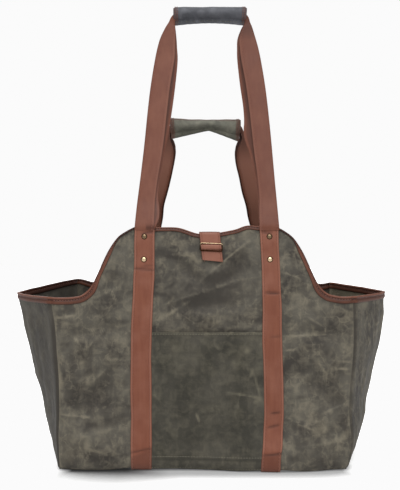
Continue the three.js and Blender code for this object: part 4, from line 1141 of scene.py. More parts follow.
def rivet_tree():
    """Rivets on points: a domed cap on a seat painted dark as its shadow, turned to the point's facing, with
    a burr in the bag.
    """
    tree, ids, given = new_tree("rivets", (
        ("Places", "Geometry"), ("Cap Radius", "Float"), ("Cap High", "Float"), ("Wall", "Float"),
        ("Darkness", "Float"), ("Finish", "Material")))
    dome_size = put(tree, "ShaderNodeCombineXYZ", [
        (0, given["Cap Radius"]), (1, given["Cap Radius"]), (2, given["Cap High"])])
    ball = put(tree, "GeometryNodeMeshUVSphere", [("Segments", 24), ("Rings", 12), ("Radius", 1.0)])
    dome = put(tree, "GeometryNodeTransform", [
        ("Geometry", ball.outputs[0]), ("Scale", dome_size.outputs[0])])
    parts = [put(tree, "GeometryNodeStoreNamedAttribute", [
        ("Geometry", dome.outputs[0]), ("Name", "brass_darkening"), ("Value", given["Darkness"])])]
    # Shank, burr and seat: share of the cap's radius, thickness, sides, and how deep in the wall
    for share, thick, sides, deep in ((RIVET_SHANK, given["Wall"], 12, 0.5),
                                      (RIVET_BURR, RIVET_BURR_THICK * MM, 20, 1.0),
                                      (RIVET_SEAT, RIVET_SEAT_THICK * MM, 24, 0.0)):
        wide = put(tree, "ShaderNodeMath", [(0, given["Cap Radius"]), (1, share)], operation="MULTIPLY")
        disc = put(tree, "GeometryNodeMeshCylinder", [
            ("Vertices", sides), ("Radius", wide.outputs[0]), ("Depth", thick)])
        down = put(tree, "ShaderNodeMath", [(0, given["Wall"]), (1, -deep)], operation="MULTIPLY")
        at = put(tree, "ShaderNodeCombineXYZ", [(2, down.outputs[0])])
        parts.append(put(tree, "GeometryNodeTransform", [
            ("Geometry", disc.outputs["Mesh"]), ("Translation", at.outputs[0])]))
    # The seat is painted wholly dark: the shadow round the cap
    seat = parts.pop()
    parts.append(put(tree, "GeometryNodeStoreNamedAttribute", [
        ("Geometry", seat.outputs[0]), ("Name", "brass_darkening"), ("Value", 1.0)]))
    whole = put(tree, "GeometryNodeJoinGeometry")
    for part in parts:
        tree.links.new(part.outputs[0], whole.inputs[0])
    facing = put(tree, "GeometryNodeInputNamedAttribute", [("Name", "facing")], data_type="FLOAT_VECTOR")
    turn = put(tree, "FunctionNodeAlignRotationToVector", [("Vector", facing.outputs[0])], axis="Z")
    rivets = put(tree, "GeometryNodeInstanceOnPoints", [
        ("Points", given["Places"]), ("Instance", whole.outputs[0]), ("Rotation", turn.outputs[0])])
    end_tree(tree, rivets.outputs[0], given["Finish"])
    return tree, ids


def grown(name, points, edges, tree_ids, values, facing=None):
    """A plain mesh grown by a node tree on points and lines."""
    tree, ids = tree_ids
    mesh = bpy.data.meshes.new(name)
    mesh.from_pydata((np.asarray(points) * MM).tolist(), edges, [])
    if facing is not None:
        store = mesh.attributes.new("facing", "FLOAT_VECTOR", "POINT")
        store.data.foreach_set("vector", np.ravel(facing).astype(np.float32))
    made = new_object(name, mesh)
    modifier = made.modifiers.new("grow", "NODES")
    modifier.node_group = tree
    for key, value in values.items():
        modifier[ids[key]] = value
    evaluated = made.evaluated_get(bpy.context.evaluated_depsgraph_get())
    made.data = bpy.data.meshes.new_from_object(evaluated)
    made.modifiers.clear()
    made.data.name = name
    return made


STITCHES = stitch_tree()
RIVETS = rivet_tree()


def sew(name, lines, thread):
    """Stitches along lines of points."""
    edges = []
    count = 0
    for line in lines:
        edges += [(count + n, count + n + 1) for n in range(len(line) - 1)]
        count += len(line)
    pitch, length, radius = STITCH[name]
    values = {"Pitch": pitch * MM, "Length": length * MM, "Thread": radius * MM, "Finish": thread}
    return grown(name, np.concatenate(lines), edges, STITCHES, values)


# Camera, floor and light
def add_camera():
    data = bpy.data.cameras.new("photo_camera")
    data.sensor_width = SENSOR
    data.lens = SENSOR * FOCAL_PIXELS / IMAGE_HIGH
    camera = new_object("photo_camera", data)
    camera.location = CAMERA
    camera.rotation_euler = (math.pi / 2, 0, 0)
    bpy.context.scene.camera = camera


def add_suns():
    for name, (towards, angle, strength) in SUNS.items():
        data = bpy.data.lights.new(name, "SUN")
        data.angle = math.radians(angle)
        data.energy = strength
        sun = new_object(name, data)
        sun.rotation_euler = Vector(towards).to_track_quat("-Z", "Y").to_euler()


def add_backdrop():
    """White all round: evenly white to the eye, while it lights the bag more softly than the lamps do."""
    world = bpy.data.worlds.new("studio")
    world.use_nodes = True
    tree = world.node_tree
    tree.nodes.clear()
    seen = put(tree, "ShaderNodeBackground", [("Color", linear(PAPER_WHITE)), ("Strength", 1.0)])
    cast = put(tree, "ShaderNodeBackground", [("Color", (1.0, 1.0, 1.0, 1.0)), ("Strength", BACKDROP_LIGHT)])
    path = put(tree, "ShaderNodeLightPath")
    both = put(tree, "ShaderNodeMixShader", [
        (0, path.outputs["Is Camera Ray"]), (1, cast.outputs[0]), (2, seen.outputs[0])])
    put(tree, "ShaderNodeOutputWorld", [("Surface", both.outputs[0])])
    bpy.context.scene.world = world
    # Highlights stop at the white of the paper
    view = bpy.context.scene.view_settings
    view.view_transform = "Standard"
    view.use_curve_mapping = True
    view.curve_mapping.extend = "HORIZONTAL"
    view.curve_mapping.curves[3].points[-1].location = linear(PAPER_WHITE)[:2]
    view.curve_mapping.update()


def matt_white_paper():
    """Matt paper: white to the eye but for a soft shadow in front of the bag, and greyer to the bag."""
    material, tree, shader = new_material("matt_white_paper")
    spot = put(tree, "ShaderNodeSeparateXYZ", [(0, put(tree, "ShaderNodeTexCoord").outputs["Object"])])
    # The shadow reaches further on the left
    shadow_wide = put(tree, "ShaderNodeMapRange", [
        ("Value", spot.outputs["X"]), ("From Min", -0.13), ("From Max", -0.03),
        ("To Min", 0.16), ("To Max", 0.085)])
    near = put(tree, "ShaderNodeAmbientOcclusion", [("Distance", shadow_wide.outputs[0])], samples=16)
    contact = put(tree, "ShaderNodeMapRange", [
        ("Value", near.outputs["AO"]), ("From Min", 0.53), ("From Max", 0.99), ("To Min", 0.04)])
    aside = put(tree, "ShaderNodeMath", [(0, spot.outputs["X"]), (1, BODY_X * MM)], operation="SUBTRACT")
    reach = put(tree, "ShaderNodeMath", [(0, aside.outputs[0])], operation="ABSOLUTE")
    # It lies in front of the bag and between its ends, and fades towards the right
    clearings = ((spot.outputs["Y"], -0.115, -0.085, 1.0), (reach.outputs[0], 0.212, 0.25, 1.0),
                 (spot.outputs["X"], -0.13, -0.05, 0.3))
    lit = contact
    for value, start, end, most in clearings:
        clear = put(tree, "ShaderNodeMapRange", [
            ("Value", value), ("From Min", start), ("From Max", end), ("To Max", most)])
        lit = put(tree, "ShaderNodeMath", [(0, lit.outputs[0]), (1, clear.outputs[0])], operation="MAXIMUM")
    path = put(tree, "ShaderNodeLightPath")
    colour = put(tree, "ShaderNodeMix", [
        ("Factor", path.outputs["Is Camera Ray"]), (6, linear(PAPER_GREY)), (7, lit.outputs[0])],
        data_type="RGBA")
    tree.links.new(colour.outputs[2], shader.inputs["Base Color"])
    glow = put(tree, "ShaderNodeMath", [(0, path.outputs["Is Camera Ray"]), (1, lit.outputs[0])],
               operation="MULTIPLY")
    tree.links.new(glow.outputs[0], shader.inputs["Emission Color"])
    shader.inputs["Emission Strength"].default_value = PAPER_GLOW
    shader.inputs["Roughness"].default_value = 1.0
    shader.inputs["Specular IOR Level"].default_value = 0.0
    return material


def add_paper():
    mesh = bpy.data.meshes.new("floor")
    corners = ((-1, -1), (1, -1), (1, 1), (-1, 1))
    mesh.from_pydata([(x * PAPER_REACH, y * PAPER_REACH, 0) for x, y in corners], [], [(0, 1, 2, 3)])
    mesh.materials.append(matt_white_paper())
    new_object("floor", mesh)


# Canvas body
def add_panels():
    for name, face in FACES.items():
        grid, wear_light_and_shade = panel_sheet(face)
        piece = make_wall(f"{name}_panel_canvas", grid, CANVAS, CANVAS_CLOTH, {"wear_light_and_shade": wear_light_and_shade})
        finish_piece(piece, "canvas", f"{name}_panel")
        spread = steps(-CORNER_TOP, CORNER_TOP, SHEET_STEP)
        cut_area = np.mean(rim_z(face, BODY_X + spread) - ROLL_Z + ROLL_LONG) * 2 * CORNER_TOP


def add_gussets():
    for name, side in SIDES.items():
        grid, wear_light_and_shade = gusset_sheet(side)
        cloth = GUSSET_CLOTH if side < 0 else CANVAS_CLOTH
        piece = make_wall(f"{name}_gusset_canvas", grid, CANVAS, cloth, {"wear_light_and_shade": wear_light_and_shade})
        finish_piece(piece, "canvas", f"{name}_gusset")
        wide = 2 * float(np.hypot(depth_at(GUSSET_MEASURED_Z), crease_out(GUSSET_MEASURED_Z)))


def add_floor():
    v = np.linspace(-1, 1, FLOOR_ROWS)[:, None]
    left, right = (gusset_point(side, v, BOTTOM_Z)[..., 0] for side in (-1, 1))
    share = np.linspace(0, 1, FLOOR_COLUMNS)[None, :]
    x = mix(left, right, share)
    front = base_share(v)
    y = v * BOTTOM_HALF_DEPTH - base_under(x) * front
    room = smoothstep(1 - np.abs(v), 0, 0.2) * smoothstep(share, 0, 0.06) * smoothstep(1 - share, 0, 0.06)
    sag = clouds(np.stack([x, y, 0 * x], axis=-1), 60, 40)
    grid = np.stack([x, y, BOTTOM_Z + room * np.maximum(sag * 2.0, -0.2) - base_down(x) * front], axis=-1)
    piece = make_wall("floor_canvas", grid, CANVAS, CANVAS_CLOTH, {"wear_light_and_shade": smoothstep(sag, 0.2, 0.6) * 0.3})
    finish_piece(piece, "canvas", "bottom_panel")


# Pocket
def pocket_points(share, h):
    """Places across and up the pocket and their lift off the panel, share -1 to 1 across it."""
    _, z, _, _ = profile(h)
    left = strap_edge(-1, "left", 1, z) + POCKET_BESIDE_STRAP
    right = strap_edge(-1, "right", -1, z) - POCKET_BESIDE_STRAP
    x = mix(left, right, (share + 1) / 2)
    gape = POCKET_GAPE * (1 - share ** 2) ** 2 * smoothstep(z, POCKET_GAPE_FROM_Z, POCKET_TOP_Z)
    return x, z, POCKET_LIFT + gape


def pocket_mark(x, z, h, place, ridge):
    """Tones of the pocket's cloth: worn ridges, patches of wear and painted light and shade, the pale hem,
    and along its foot a pale line above a painted shade line.
    """
    crumpled = smoothstep(clouds(place, 40, 17), 0.1, 0.5)
    mark = 0.3 * crumpled * ridge_wear(ridge, POCKET_RIDGE_WORN) + ragged(POCKET_TONES, x, z)
    mark = mark + 0.25 * smoothstep(h, POCKET_TOP - 2.5, POCKET_TOP - 0.5)
    foot = h - POCKET_FOOT
    return mark + 0.1 * np.exp(-((foot / 1.5) ** 2)) - 0.8 * np.exp(-(((foot + 4) / 2) ** 2))


def add_pocket():
    h = steps(POCKET_LOW, POCKET_TOP, POCKET_STEP)[:, None]
    share = np.linspace(-1, 1, POCKET_COLUMNS)[None, :]
    x, z, lift = np.broadcast_arrays(*pocket_points(share, h))
    place = np.stack([x, np.full(x.shape, -132.0), z], axis=-1)
    high, mark = creases(POCKET_CREASES, x, z)
    room = smoothstep(1 - np.abs(share), 0, 0.16) * smoothstep(h, 4, 30) * smoothstep(POCKET_TOP - h, 8, 30)
    bowls, ridge = facets(place, POCKET_FACET, 15)
    relief = room * (high + POCKET_FACET_DEEP * (bowls - BOWL)) + 0.3 * clouds(place, 15, 16)
    hem_low = POCKET_TOP - POCKET_HEM
    hem = smoothstep(h, hem_low - 1, hem_low + 0.5) * np.ones_like(x)
    grid = on_panel(-1, x, h, lift + relief + hem * POCKET_HEM_THICK / 2)
    mark = mark + pocket_mark(x, z, h, place, ridge)
    piece = make_wall("pocket_canvas", grid, CANVAS + hem * POCKET_HEM_THICK, POCKET_CLOTH, {"wear_light_and_shade": mark})
    finish_piece(piece, "pocket_canvas", "front_pocket")


def add_pocket_stitches():
    lines = []
    share = np.linspace(-0.99, 0.99, POCKET_SEAM_POINTS)
    seams = ((POCKET_TOP - POCKET_HEM + 1.5, POCKET_HEM_THICK), (POCKET_FOOT, 0.0), (-ROLL_LONG / 2, 0.0))
    for up, proud in seams:
        h = np.full(share.shape, up)
        x, _, lift = pocket_points(share, h)
        lines.append(on_panel(-1, x, h, lift + CANVAS / 2 + proud - 0.1))
    finish_piece(sew("pocket_stitches", lines, OLIVE_THREAD), "pocket_canvas")


# Rim binding
def rim_rings(rim, down):
    """Rings of the folded strip round a line of canvas edge points, with the way down the cloth."""
    outside = np.abs(rim[:, 0] - STRAP_X) > STRAP_HALF_TOP
    narrow = mix(1.0, BINDING_ON_HUMP, smoothstep(rim[:, 2], *BINDING_NARROWS))
    beside = outside * smoothstep(rim[:, 2], *BINDING_NARROWS_AGAIN)
    narrow = mix(narrow, BINDING_BESIDE_STRAP, beside)[:, None]
    along = unit(np.gradient(rim, axis=0))
    down = unit(down - along * np.sum(down * along, axis=1, keepdims=True))
    normal = np.cross(along, down)
    half = BINDING_OUTSIDE + [(-off, drop) for off, drop in BINDING_OUTSIDE[-2::-1]]
    inner = BINDING_INSIDE[:0:-1]
    section = half + [(-off, drop) for off, drop in inner] + BINDING_INSIDE
    off, drop = np.array(section).T
    down = down * narrow
    rings = rim[:, None] + normal[:, None] * off[:, None] + down[:, None] * drop[:, None]
    return rings, normal, down


def panel_rim(face):
    spread = steps(-CORNER_TOP + BINDING_SETBACK, CORNER_TOP - BINDING_SETBACK, RIM_STEP)
    z = rim_z(face, BODY_X + spread)
    x, off = panel_x(face, spread, z)
    turned = tuck(np.sign(x - BODY_X), face, z, off)
    rim = on_panel(face, x, z - ROLL_Z) + turned
    below = on_panel(face, x, z - ROLL_Z - 5) + turned
    return rim, below - rim


def gusset_rim_line(side):
    end = 1 - BINDING_SETBACK / depth_at(TIP_Z[side])
    v = np.linspace(-end, end, GUSSET_RIM_POINTS)
    z = gusset_rim(side, v)
    rim = gusset_point(side, v, z)
    below = gusset_point(side, v, z - 5)
    turned = tuck(side * np.ones_like(v), np.sign(v + 1e-9), z, gusset_off(v, z))
    return rim + turned, below - rim


def binding_marks(name, rim, shape):
    """Painted light and shade of a binding: crown and legs lit, shade in the groove, up the hump, by the
    straps and at the back.
    """
    count = len(BINDING_OUTSIDE)
    place = np.arange(2 * count - 1)
    place = np.minimum(place, place[::-1])
    crown = place > count - BINDING_CROWN
    outside = np.abs(rim[:, :1] - STRAP_X) > STRAP_HALF_TOP
    slope = outside * smoothstep(rim[:, 2:], *BINDING_NARROWS)
    shoulder = outside * smoothstep(rim[:, 2:], *BINDING_NARROWS_AGAIN)
    dark = np.maximum(0.8 * slope, name == "back")
    edge = np.zeros(shape)
    edge[:, :len(place)] = np.where(crown, 0.9 * (1 - dark), 0.5 * slope * (place > 0)) * (1 - shoulder)
    shade = np.zeros(shape)
    legs = np.array(BINDING_SHADE)[place] * (1 - 0.7 * slope)
    shade[:, :len(place)] = np.where(crown, 0.7 * dark, legs)
    shade = np.maximum(shade, 0.9 * shoulder)
    if name in SIDES:
        back = BACK_RIM_SHADE[SIDES[name]] * smoothstep(rim[:, 1:2], -10, 40)
        edge = edge * (1 - back)
        shade = np.maximum(shade, back)
    return {"edge": edge, "shade": shade}


def add_binding():
    lines = []
    rims = {name: panel_rim(face) for name, face in FACES.items()}
    rims.update({name: gusset_rim_line(side) for name, side in SIDES.items()})
    for name, (rim, down) in rims.items():
        wobble = clouds(rim, 22, 50)[:, None] * 0.5
        rings, normal, down = rim_rings(rim + unit(down) * wobble, down)
        marks = binding_marks(name, rim, rings.shape[:2])
        piece = make_loft(f"{name}_binding", rings, BINDING_HIDE, marks, sharp=60)
        finish_piece(piece, "binding_leather", f"{name}_rim_binding")
        off, drop = BINDING_STITCH
        top = rings[:, len(BINDING_OUTSIDE) - 1]
        for way in (1, -1):
            lines.append((top + way * normal * off + down * drop)[2:-2])
    finish_piece(sew("binding_stitches", lines, BROWN_THREAD), "binding_leather")


# Straps
def strap_section(wide, thick):
    """Closed section of a strap, across and off its middle: crowned, grooved for the seams, rounded edges."""
    half = wide / 2
    top = thick / 2
    groove = half - STRAP_GROOVE
    face = [(half, 0.0), (half - 0.25, top * 0.62), (half - 0.9, top * 0.95), (half - 2.2, top + 0.1),
            (groove + 0.4, top), (groove, top - 0.35), (groove - 0.5, top),
            (groove - 2.0, top + 0.12), (half * 0.45, top + 0.2), (0.0, top + 0.25)]
    face = face + [(-across, off) for across, off in face[-2::-1]]
    back = [(-half + 0.4, -top * 0.8), (-half + 1.2, -top), (0.0, -top), (half - 1.2, -top),
            (half - 0.4, -top * 0.8)]
    return np.array(face + back).T


# Painted sheen on the band between a strap's seam groove and its edge
def edge_sheen(across, wide):
    return 0.65 * smoothstep(np.abs(across), wide / 2 - STRAP_GROOVE - 0.1, wide / 2 - STRAP_GROOVE + 0.5)


def strap_lift(z):
    return mix(STRAP_LIFT, STRAP_LIFT_AT_RIM, smoothstep(z, *STRAP_CLIMB))


def strap_pressed(face, side, across, z):
    """How deep the creases press into a strap."""
    deep = np.zeros(np.broadcast(across, z).shape)
    for crease_face, crease_side, crease_z, slant, middle, long, depth in zip(*STRAP_CREASES.values()):
        if (crease_face, crease_side) == (face, side):
            off = z - crease_z - slant * across
            window = np.exp(-(((across - middle) / long) ** 4))
            deep = deep + depth * window * np.exp(-(off / STRAP_CREASE_WIDE) ** 2)
    return deep


def add_strap(face_name, side_name):
    """A strap up a face, from under the bag to the rim; gives its two seam lines."""
    face, side = FACES[face_name], SIDES[side_name]
    across, off = strap_section(STRAP_WIDE, STRAP_THICK)
    h = steps(-ROLL_LONG, STRAP_TOP_Z - ROLL_Z, STRAP_STEP)[:, None]
    _, z, _, _ = profile(h)
    edges = {way: strap_edge(face, side_name, way, z) for way in (-1, 1)}
    x = mix(edges[-1], edges[1], across / STRAP_WIDE + 0.5)
    pressed = strap_pressed(face, side, across[None, :], z)
    wave = 0.25 * clouds(np.stack([edges[1], 0 * z, z], axis=-1), 30, 60 + side)
    rings = on_panel(face, x, h, strap_lift(z) + off - pressed + wave)
    # Painted shade where the strap turns under the bag and in its pressed creases
    turned = 0.34 * smoothstep(TURN_Z + TURN_SLANT[side] * across - z, -1.5, 1.5)
    shade = np.clip(pressed * 0.65 + turned, 0, 0.9)
    marks = {"edge": edge_sheen(across, STRAP_WIDE) + 0 * z, "shade": shade}
    piece = make_loft(f"{face_name}_{side_name}_strap_hide", rings, STRAP_HIDE, marks, sharp=50)
    finish_piece(piece, "strap_leather", f"{face_name}_{side_name}_strap")
    lines = []
    for way in (-1, 1):
        inset = way * (STRAP_WIDE / 2 - STITCH_INSET)
        lift = strap_lift(z) + STRAP_THICK / 2 - 0.25 + wave - strap_pressed(face, side, inset, z)
        lines.append(on_panel(face, edges[way] - way * STITCH_INSET, h, lift)[:, 0])
    return lines


def add_under_strap(side_name):
    """A strap under the bag, between the feet of the straps on its two faces."""
    across, off = strap_section(STRAP_WIDE, STRAP_THICK)
    start = -BOTTOM_HALF_DEPTH - float(base_under(strap_x(SIDES[side_name], 0))) + STRAP_PLAY
    y = steps(start, BOTTOM_HALF_DEPTH - STRAP_PLAY, UNDER_STRAP_STEP)[:, None]
    low, high = (mix(strap_edge(-1, side_name, way, 0.0), strap_edge(1, side_name, way, 0.0),
                     smoothstep(y, start, 0)) for way in (-1, 1))
    x = mix(low, high, 0.5 - across / STRAP_WIDE)
    rings = np.stack(np.broadcast_arrays(x, y, STRAP_THICK / 2 - off), axis=-1)
    rings[..., 2] = np.maximum(rings[..., 2], 0)
    # Painted shade all along: the strap lies under the bag
    marks = {"edge": edge_sheen(across, STRAP_WIDE) + 0 * y, "shade": np.full(rings.shape[:2], 0.3)}
    piece = make_loft(f"{side_name}_under_strap_hide", rings, STRAP_HIDE, marks, sharp=50)
    finish_piece(piece, "strap_leather", f"{side_name}_bottom_strap")


def add_straps():
    lines = []
    for face_name in FACES:
        for side_name in SIDES:
            lines += add_strap(face_name, side_name)
    for side_name in SIDES:
        add_under_strap(side_name)
    finish_piece(sew("strap_stitches", lines, BROWN_THREAD), "strap_leather")


# Handles
def arm_rows(arm, count):
    """The arm's table drawn out to more rows."""
    rows = np.arange(len(arm["z"]), dtype=float)
    at = np.linspace(0, len(rows) - 1, count)
    return {key: through(rows, values)(at) for key, values in arm.items()}


def arm_grid(handle, side_name, arm):
    """Middle points of a doubled strap: front layer from its inner edge to the fold, under layer back."""
    face, side = handle["face"], SIDES[side_name]
    foot, top = arm["z"][0], arm["z"][-1]
    shift = handle["lean"] * smoothstep(arm["z"], foot, mix(foot, top, 0.45))
    shift = shift + (handle["shift"] - handle["lean"]) * smoothstep(arm["z"], mix(foot, top, 0.86), top)
    low = arm["z"] - arm["drop"]
    share = np.linspace(0, 1, ARM_COLUMNS)[None, :]
    inner = {key: through(handle["set"]["z"], handle["set"][f"{side_name}_{key}"])(arm["z"])
             for key in ("edge", "under")}
    fold = arm["fold"][:, None]
    edge, under = ((arm[key] - inner[key])[:, None] for key in ("edge", "under"))
    start = fold - 0.7
    crown = 1.0 - (2 * share - 1) ** 4
    front_x = mix(edge, start, share)
    front_off = -ARM_LAYER_MID - 0.9 * crown + 0 * edge
    front_z = mix(low[:, None], arm["z"][:, None], share)
    angle = np.linspace(-90, 90, ARM_BEND + 2)[None, 1:-1] * math.pi / 180
    bend_x = start + ARM_LAYER_MID * np.cos(angle)
    bend_off = ARM_LAYER_MID * np.sin(angle) + 0 * edge
    bend_z = arm["z"][:, None] + 0 * angle
    back_x = mix(start, under, share)
    back_off = ARM_LAYER_MID + arm["open"][:, None] * share ** 1.5
    back_z = mix(arm["z"][:, None], low[:, None], share)
    x = np.concatenate([front_x, bend_x, back_x], axis=1)
    off = np.concatenate([front_off, bend_off, back_off], axis=1)
    z = np.concatenate([front_z, bend_z, back_z], axis=1)
    y = face * arm["depth"][:, None] + off
    return np.stack([STRAP_X + shift[:, None] + side * x, y, z], axis=-1)


def handle_marks(handle, grid, half_rows):
    """Painted light on a handle's front layers and inner edges, and painted shade on their two sides."""
    rows, count = grid.shape[:2]
    under = ARM_COLUMNS + ARM_BEND
    edge = np.zeros((rows, count))
    edge[:, :ARM_COLUMNS] = handle["pale"]
    edge[:, :2] = 0.6
    shade = np.repeat(handle["shade"], half_rows)[:, None] * np.ones(count)
    shade[:, ARM_COLUMNS - 1:under] = 0.3
    shade[:, under:] = handle["under_shade"]
    shade[:, 0] = 0.35
    shade[:, -2:] = handle["rim_shade"]
    foot = np.exp(-(((grid[:half_rows, :FOOT_FOLD_COLUMNS, 2] - FOOT_FOLD_Z) / 5) ** 2))
    shade[:half_rows, :FOOT_FOLD_COLUMNS] += handle["foot_fold"] * foot
    top = smoothstep(grid[:, :1, 2] - handle["arm"]["z"][-1], *TOP_SHADE)
    shade = np.maximum(shade, top * np.repeat(handle["top_shade"], half_rows)[:, None])
    outside = np.where(np.arange(count) >= under, ARM_OUTER_SHADE, shade)
    return {"edge": edge, "shade": np.stack([shade, outside])}


def add_handles():
    lines = []
    for name, handle in HANDLES.items():
        arm = arm_rows(handle["arm"], ARM_ROWS)
        left, right = (arm_grid(handle, side_name, arm) for side_name in SIDES)
        grid = np.concatenate([left, right[::-1]])
        rounding = np.ones(grid.shape[1])
        rounding[[0, -1]] = 0.45
        rounding[[1, -2]] = 0.9
        marks = handle_marks(handle, grid, len(left))
        piece = make_wall(f"{name}_handle_hide", grid, ARM_LAYER * rounding, STRAP_HIDE, marks)
        finish_piece(piece, "strap_leather", f"{name}_handle")
        for half in (left, right):
            lines += [half[ARM_SEAM_ROWS, column] + [0, -0.5, 0] for column in ARM_SEAMS]
    finish_piece(sew("handle_stitches", lines, BROWN_THREAD), "strap_leather")


def sleeve_points(handle, station, place):
    """Points of a sleeve: station -1 to 1 along it, place 0 to 2 round it from flange to flange."""
    rows = np.linspace(0, 1, len(SLEEVE["high"]))
    half = 1 - np.abs(place - 1)
    breadth = through(rows, SLEEVE["breadth"])(half) * np.sign(place - 1)
    high = through(rows, SLEEVE["high"])(half)
    from_apex = np.abs(station - handle["apex"]) / (1 - np.sign(station - handle["apex"]) * handle["apex"])
    end_high = np.where(station < handle["apex"], *handle["end_high"])
    tall = mix(handle["mid_high"], end_high, from_apex ** handle["bend"])
    reach = station * mix(handle["half_lower"], handle["half_upper"], high)
    middle = handle["face"] * (handle["arm"]["depth"][-1] - GRIP_CENTRE_IN)
    worn_end = smoothstep(np.abs(station), 0.93, 1.0) ** 2
    x, y, z = np.broadcast_arrays(STRAP_X + handle["shift"] + reach, middle + breadth * (1 - 0.3 * worn_end),
                                  handle["top"] - tall * (1 - high) - 3.0 * worn_end * (high - 0.3)
                                  - handle["tilt"] * (1 + station) - handle["dip"] * (1 - station ** 2))
    return np.stack([x, y, z], axis=-1), high


def add_grip(name, handle):
    """A canvas sleeve round a handle's top, puckered along its seam and worn at its ends."""
    station = np.linspace(-1, 1, SLEEVE_ROWS)[:, None]
    place = np.linspace(0, 2, SLEEVE_COLUMNS)[None, :]
    grid, high = sleeve_points(handle, station, place)
    normals = grid_normals(grid)
    normals = normals * np.sign(np.sum(normals[SLEEVE_ROWS // 2, SLEEVE_COLUMNS // 2:, 1]))
    pucker = np.sin(station * 31 + clouds(grid, 30, 70) * 3) * smoothstep(0.5 - high, 0, 0.3)
    wear = clouds(grid, 16, 71)
    grid = grid + normals * (0.5 * pucker + 0.7 * wear)[..., None]
    hem = smoothstep(np.abs(station), 0.9, 0.93) * np.ones_like(high)
    cloth = SLEEVE_CLOTH if name == "front" else BACK_SLEEVE_CLOTH
    # Painted shade on the lower part of the sleeve, and along its lower edge as much as outline says
    wear_light_and_shade = smoothstep(wear, 0.1, 0.5) * 0.4 - 0.35 * smoothstep(0.7 - high, 0, 0.35)
    wear_light_and_shade = wear_light_and_shade - handle["outline"] * smoothstep(0.14 - high, 0, 0.06)
    stain = handle["stain"] * smoothstep(np.abs(station) + 0.03 * wear, 0.86, 0.95)
    stain = np.maximum(stain, handle["outline"] * smoothstep(high, 0.85, 0.95))
    marks = {"wear_light_and_shade": wear_light_and_shade, "stain": stain}
    piece = make_wall(f"{name}_grip_canvas", grid, CANVAS + 0.8 * hem, cloth, marks)
    finish_piece(piece, "grip_canvas", f"{name}_grip")


def add_grips():
    seams = []
    ends = []
    for name, handle in HANDLES.items():
        add_grip(name, handle)
        for place in SLEEVE_SEAMS:
            line, _ = sleeve_points(handle, np.linspace(-0.95, 0.95, SLEEVE_SEAM_POINTS), place)
            seams.append(line + [0, 0.85 * np.sign(place - 1), 0])
        for station in SLEEVE_ENDS:
            line, _ = sleeve_points(handle, station, np.linspace(0.2, 1.8, SLEEVE_SEAM_POINTS))
            ends.append(line + unit((line - line.mean(axis=0)) * [0, 1, 1]) * 1.3)
    finish_piece(sew("grip_seam_stitches", seams, OLIVE_THREAD), "grip_canvas")
    finish_piece(sew("grip_end_stitches", ends, BROWN_THREAD), "grip_canvas")


# Closing tab
def rounded(points, radius):
    """A line with its corners rounded, as closely spaced points."""
    points = np.asarray(points, float)
    line = [points[0]]
    for before, corner, after in zip(points, points[1:], points[2:]):
        cut = min(radius, np.linalg.norm(corner - before) / 2, np.linalg.norm(after - corner) / 2)
        start = corner + unit(before - corner) * cut
        end = corner + unit(after - corner) * cut
        for t in np.linspace(0, 1, 7):
            line.append((1 - t) ** 2 * start + 2 * t * (1 - t) * corner + t * t * end)
    line.append(points[-1])
    return np.array(line)


def tab_line():
    """The tab's middle line in depth and height: inside the bag, over the rim, down and through the slide."""
    rim = float(rim_z(-1, TAB_X))
    over = rim + TAB_OVER_RIM
    upper = SLIDE_Z + TAB_WEAVE
    lower = SLIDE_Z - TAB_WEAVE
    route = [(rim - TAB_INSIDE, -TAB_LIFT), (rim, -TAB_LIFT), (over, -TAB_BEND), (over, TAB_BEND),
             (rim, TAB_LIFT), (SLIDE_Z + TAB_NEAR_SLIDE, TAB_LIFT),
             (upper, TAB_LIFT), (upper, TAB_OVER_BAR), (lower, TAB_OVER_BAR), (lower, TAB_LIFT),
             (SLIDE_Z - TAB_NEAR_SLIDE, TAB_LIFT), (TAB_END_Z, TAB_LIFT)]
    points = [on_panel(-1, TAB_X, z - ROLL_Z, lift) for z, lift in route]
    return rounded(points, TAB_ROUND)


def dense(line, size):
    """The same line with points about size apart."""
    run = np.concatenate([[0], np.cumsum(np.linalg.norm(np.diff(line, axis=0), axis=1))])
    keep = np.concatenate([[True], np.diff(run) > 1e-6])
    at = np.union1d(run[keep], steps(0, run[-1], size))
    return np.stack([np.interp(at, run[keep], line[keep, n]) for n in range(3)], axis=-1)


def tab_lean(points):
    """Points moved sideways with the slight lean of the tab."""
    return points + (SLIDE_Z - points[..., 2:]) * np.array([TAB_LEAN, 0.0, 0.0])


def add_tab():
    line = dense(tab_line(), TAB_STEP)
    along = unit(np.gradient(line, axis=0))
    sideways = np.array([1.0, 0.0, 0.0])
    normal = np.cross(along, sideways)
    across, off = strap_section(TAB_WIDE, TAB_THICK)
    rings = line[:, None] + across[None, :, None] * sideways + normal[:, None] * off[None, :, None]
    tail = smoothstep(TAB_END_Z + 10 - line[:, 2:], 0, 10)
    rings[..., 2] -= TAB_END_SLANT * across * tail
    # Painted shade where the tab bends over the rim and along its side edges
    top = smoothstep(line[:, 2:] - float(rim_z(-1, TAB_X)), 1.5, TAB_OVER_RIM)
    sides = smoothstep(np.abs(across), TAB_WIDE / 2 - 1.6, TAB_WIDE / 2 - 0.3)
    marks = {"edge": np.full(rings.shape[:2], 0.75), "shade": 0.6 * np.maximum(top, sides)}
    piece = make_loft("closing_tab_hide", tab_lean(rings), STRAP_HIDE, marks, sharp=50)
    finish_piece(piece, "strap_leather", "closing_tab")
    out = line + normal * (TAB_THICK / 2 - 0.2)
    visible = line[:, 2] < float(rim_z(-1, TAB_X)) - 2
    visible = visible & (line[:, 1] < -float(face_depth(TAB_SEAM_Z)))
    lines = []
    for inset in (-1, 1):
        lines.append(tab_lean(out[visible] + sideways * inset * (TAB_WIDE / 2 - STITCH_INSET)))
    finish_piece(sew("tab_stitches", lines, BROWN_THREAD), "strap_leather")


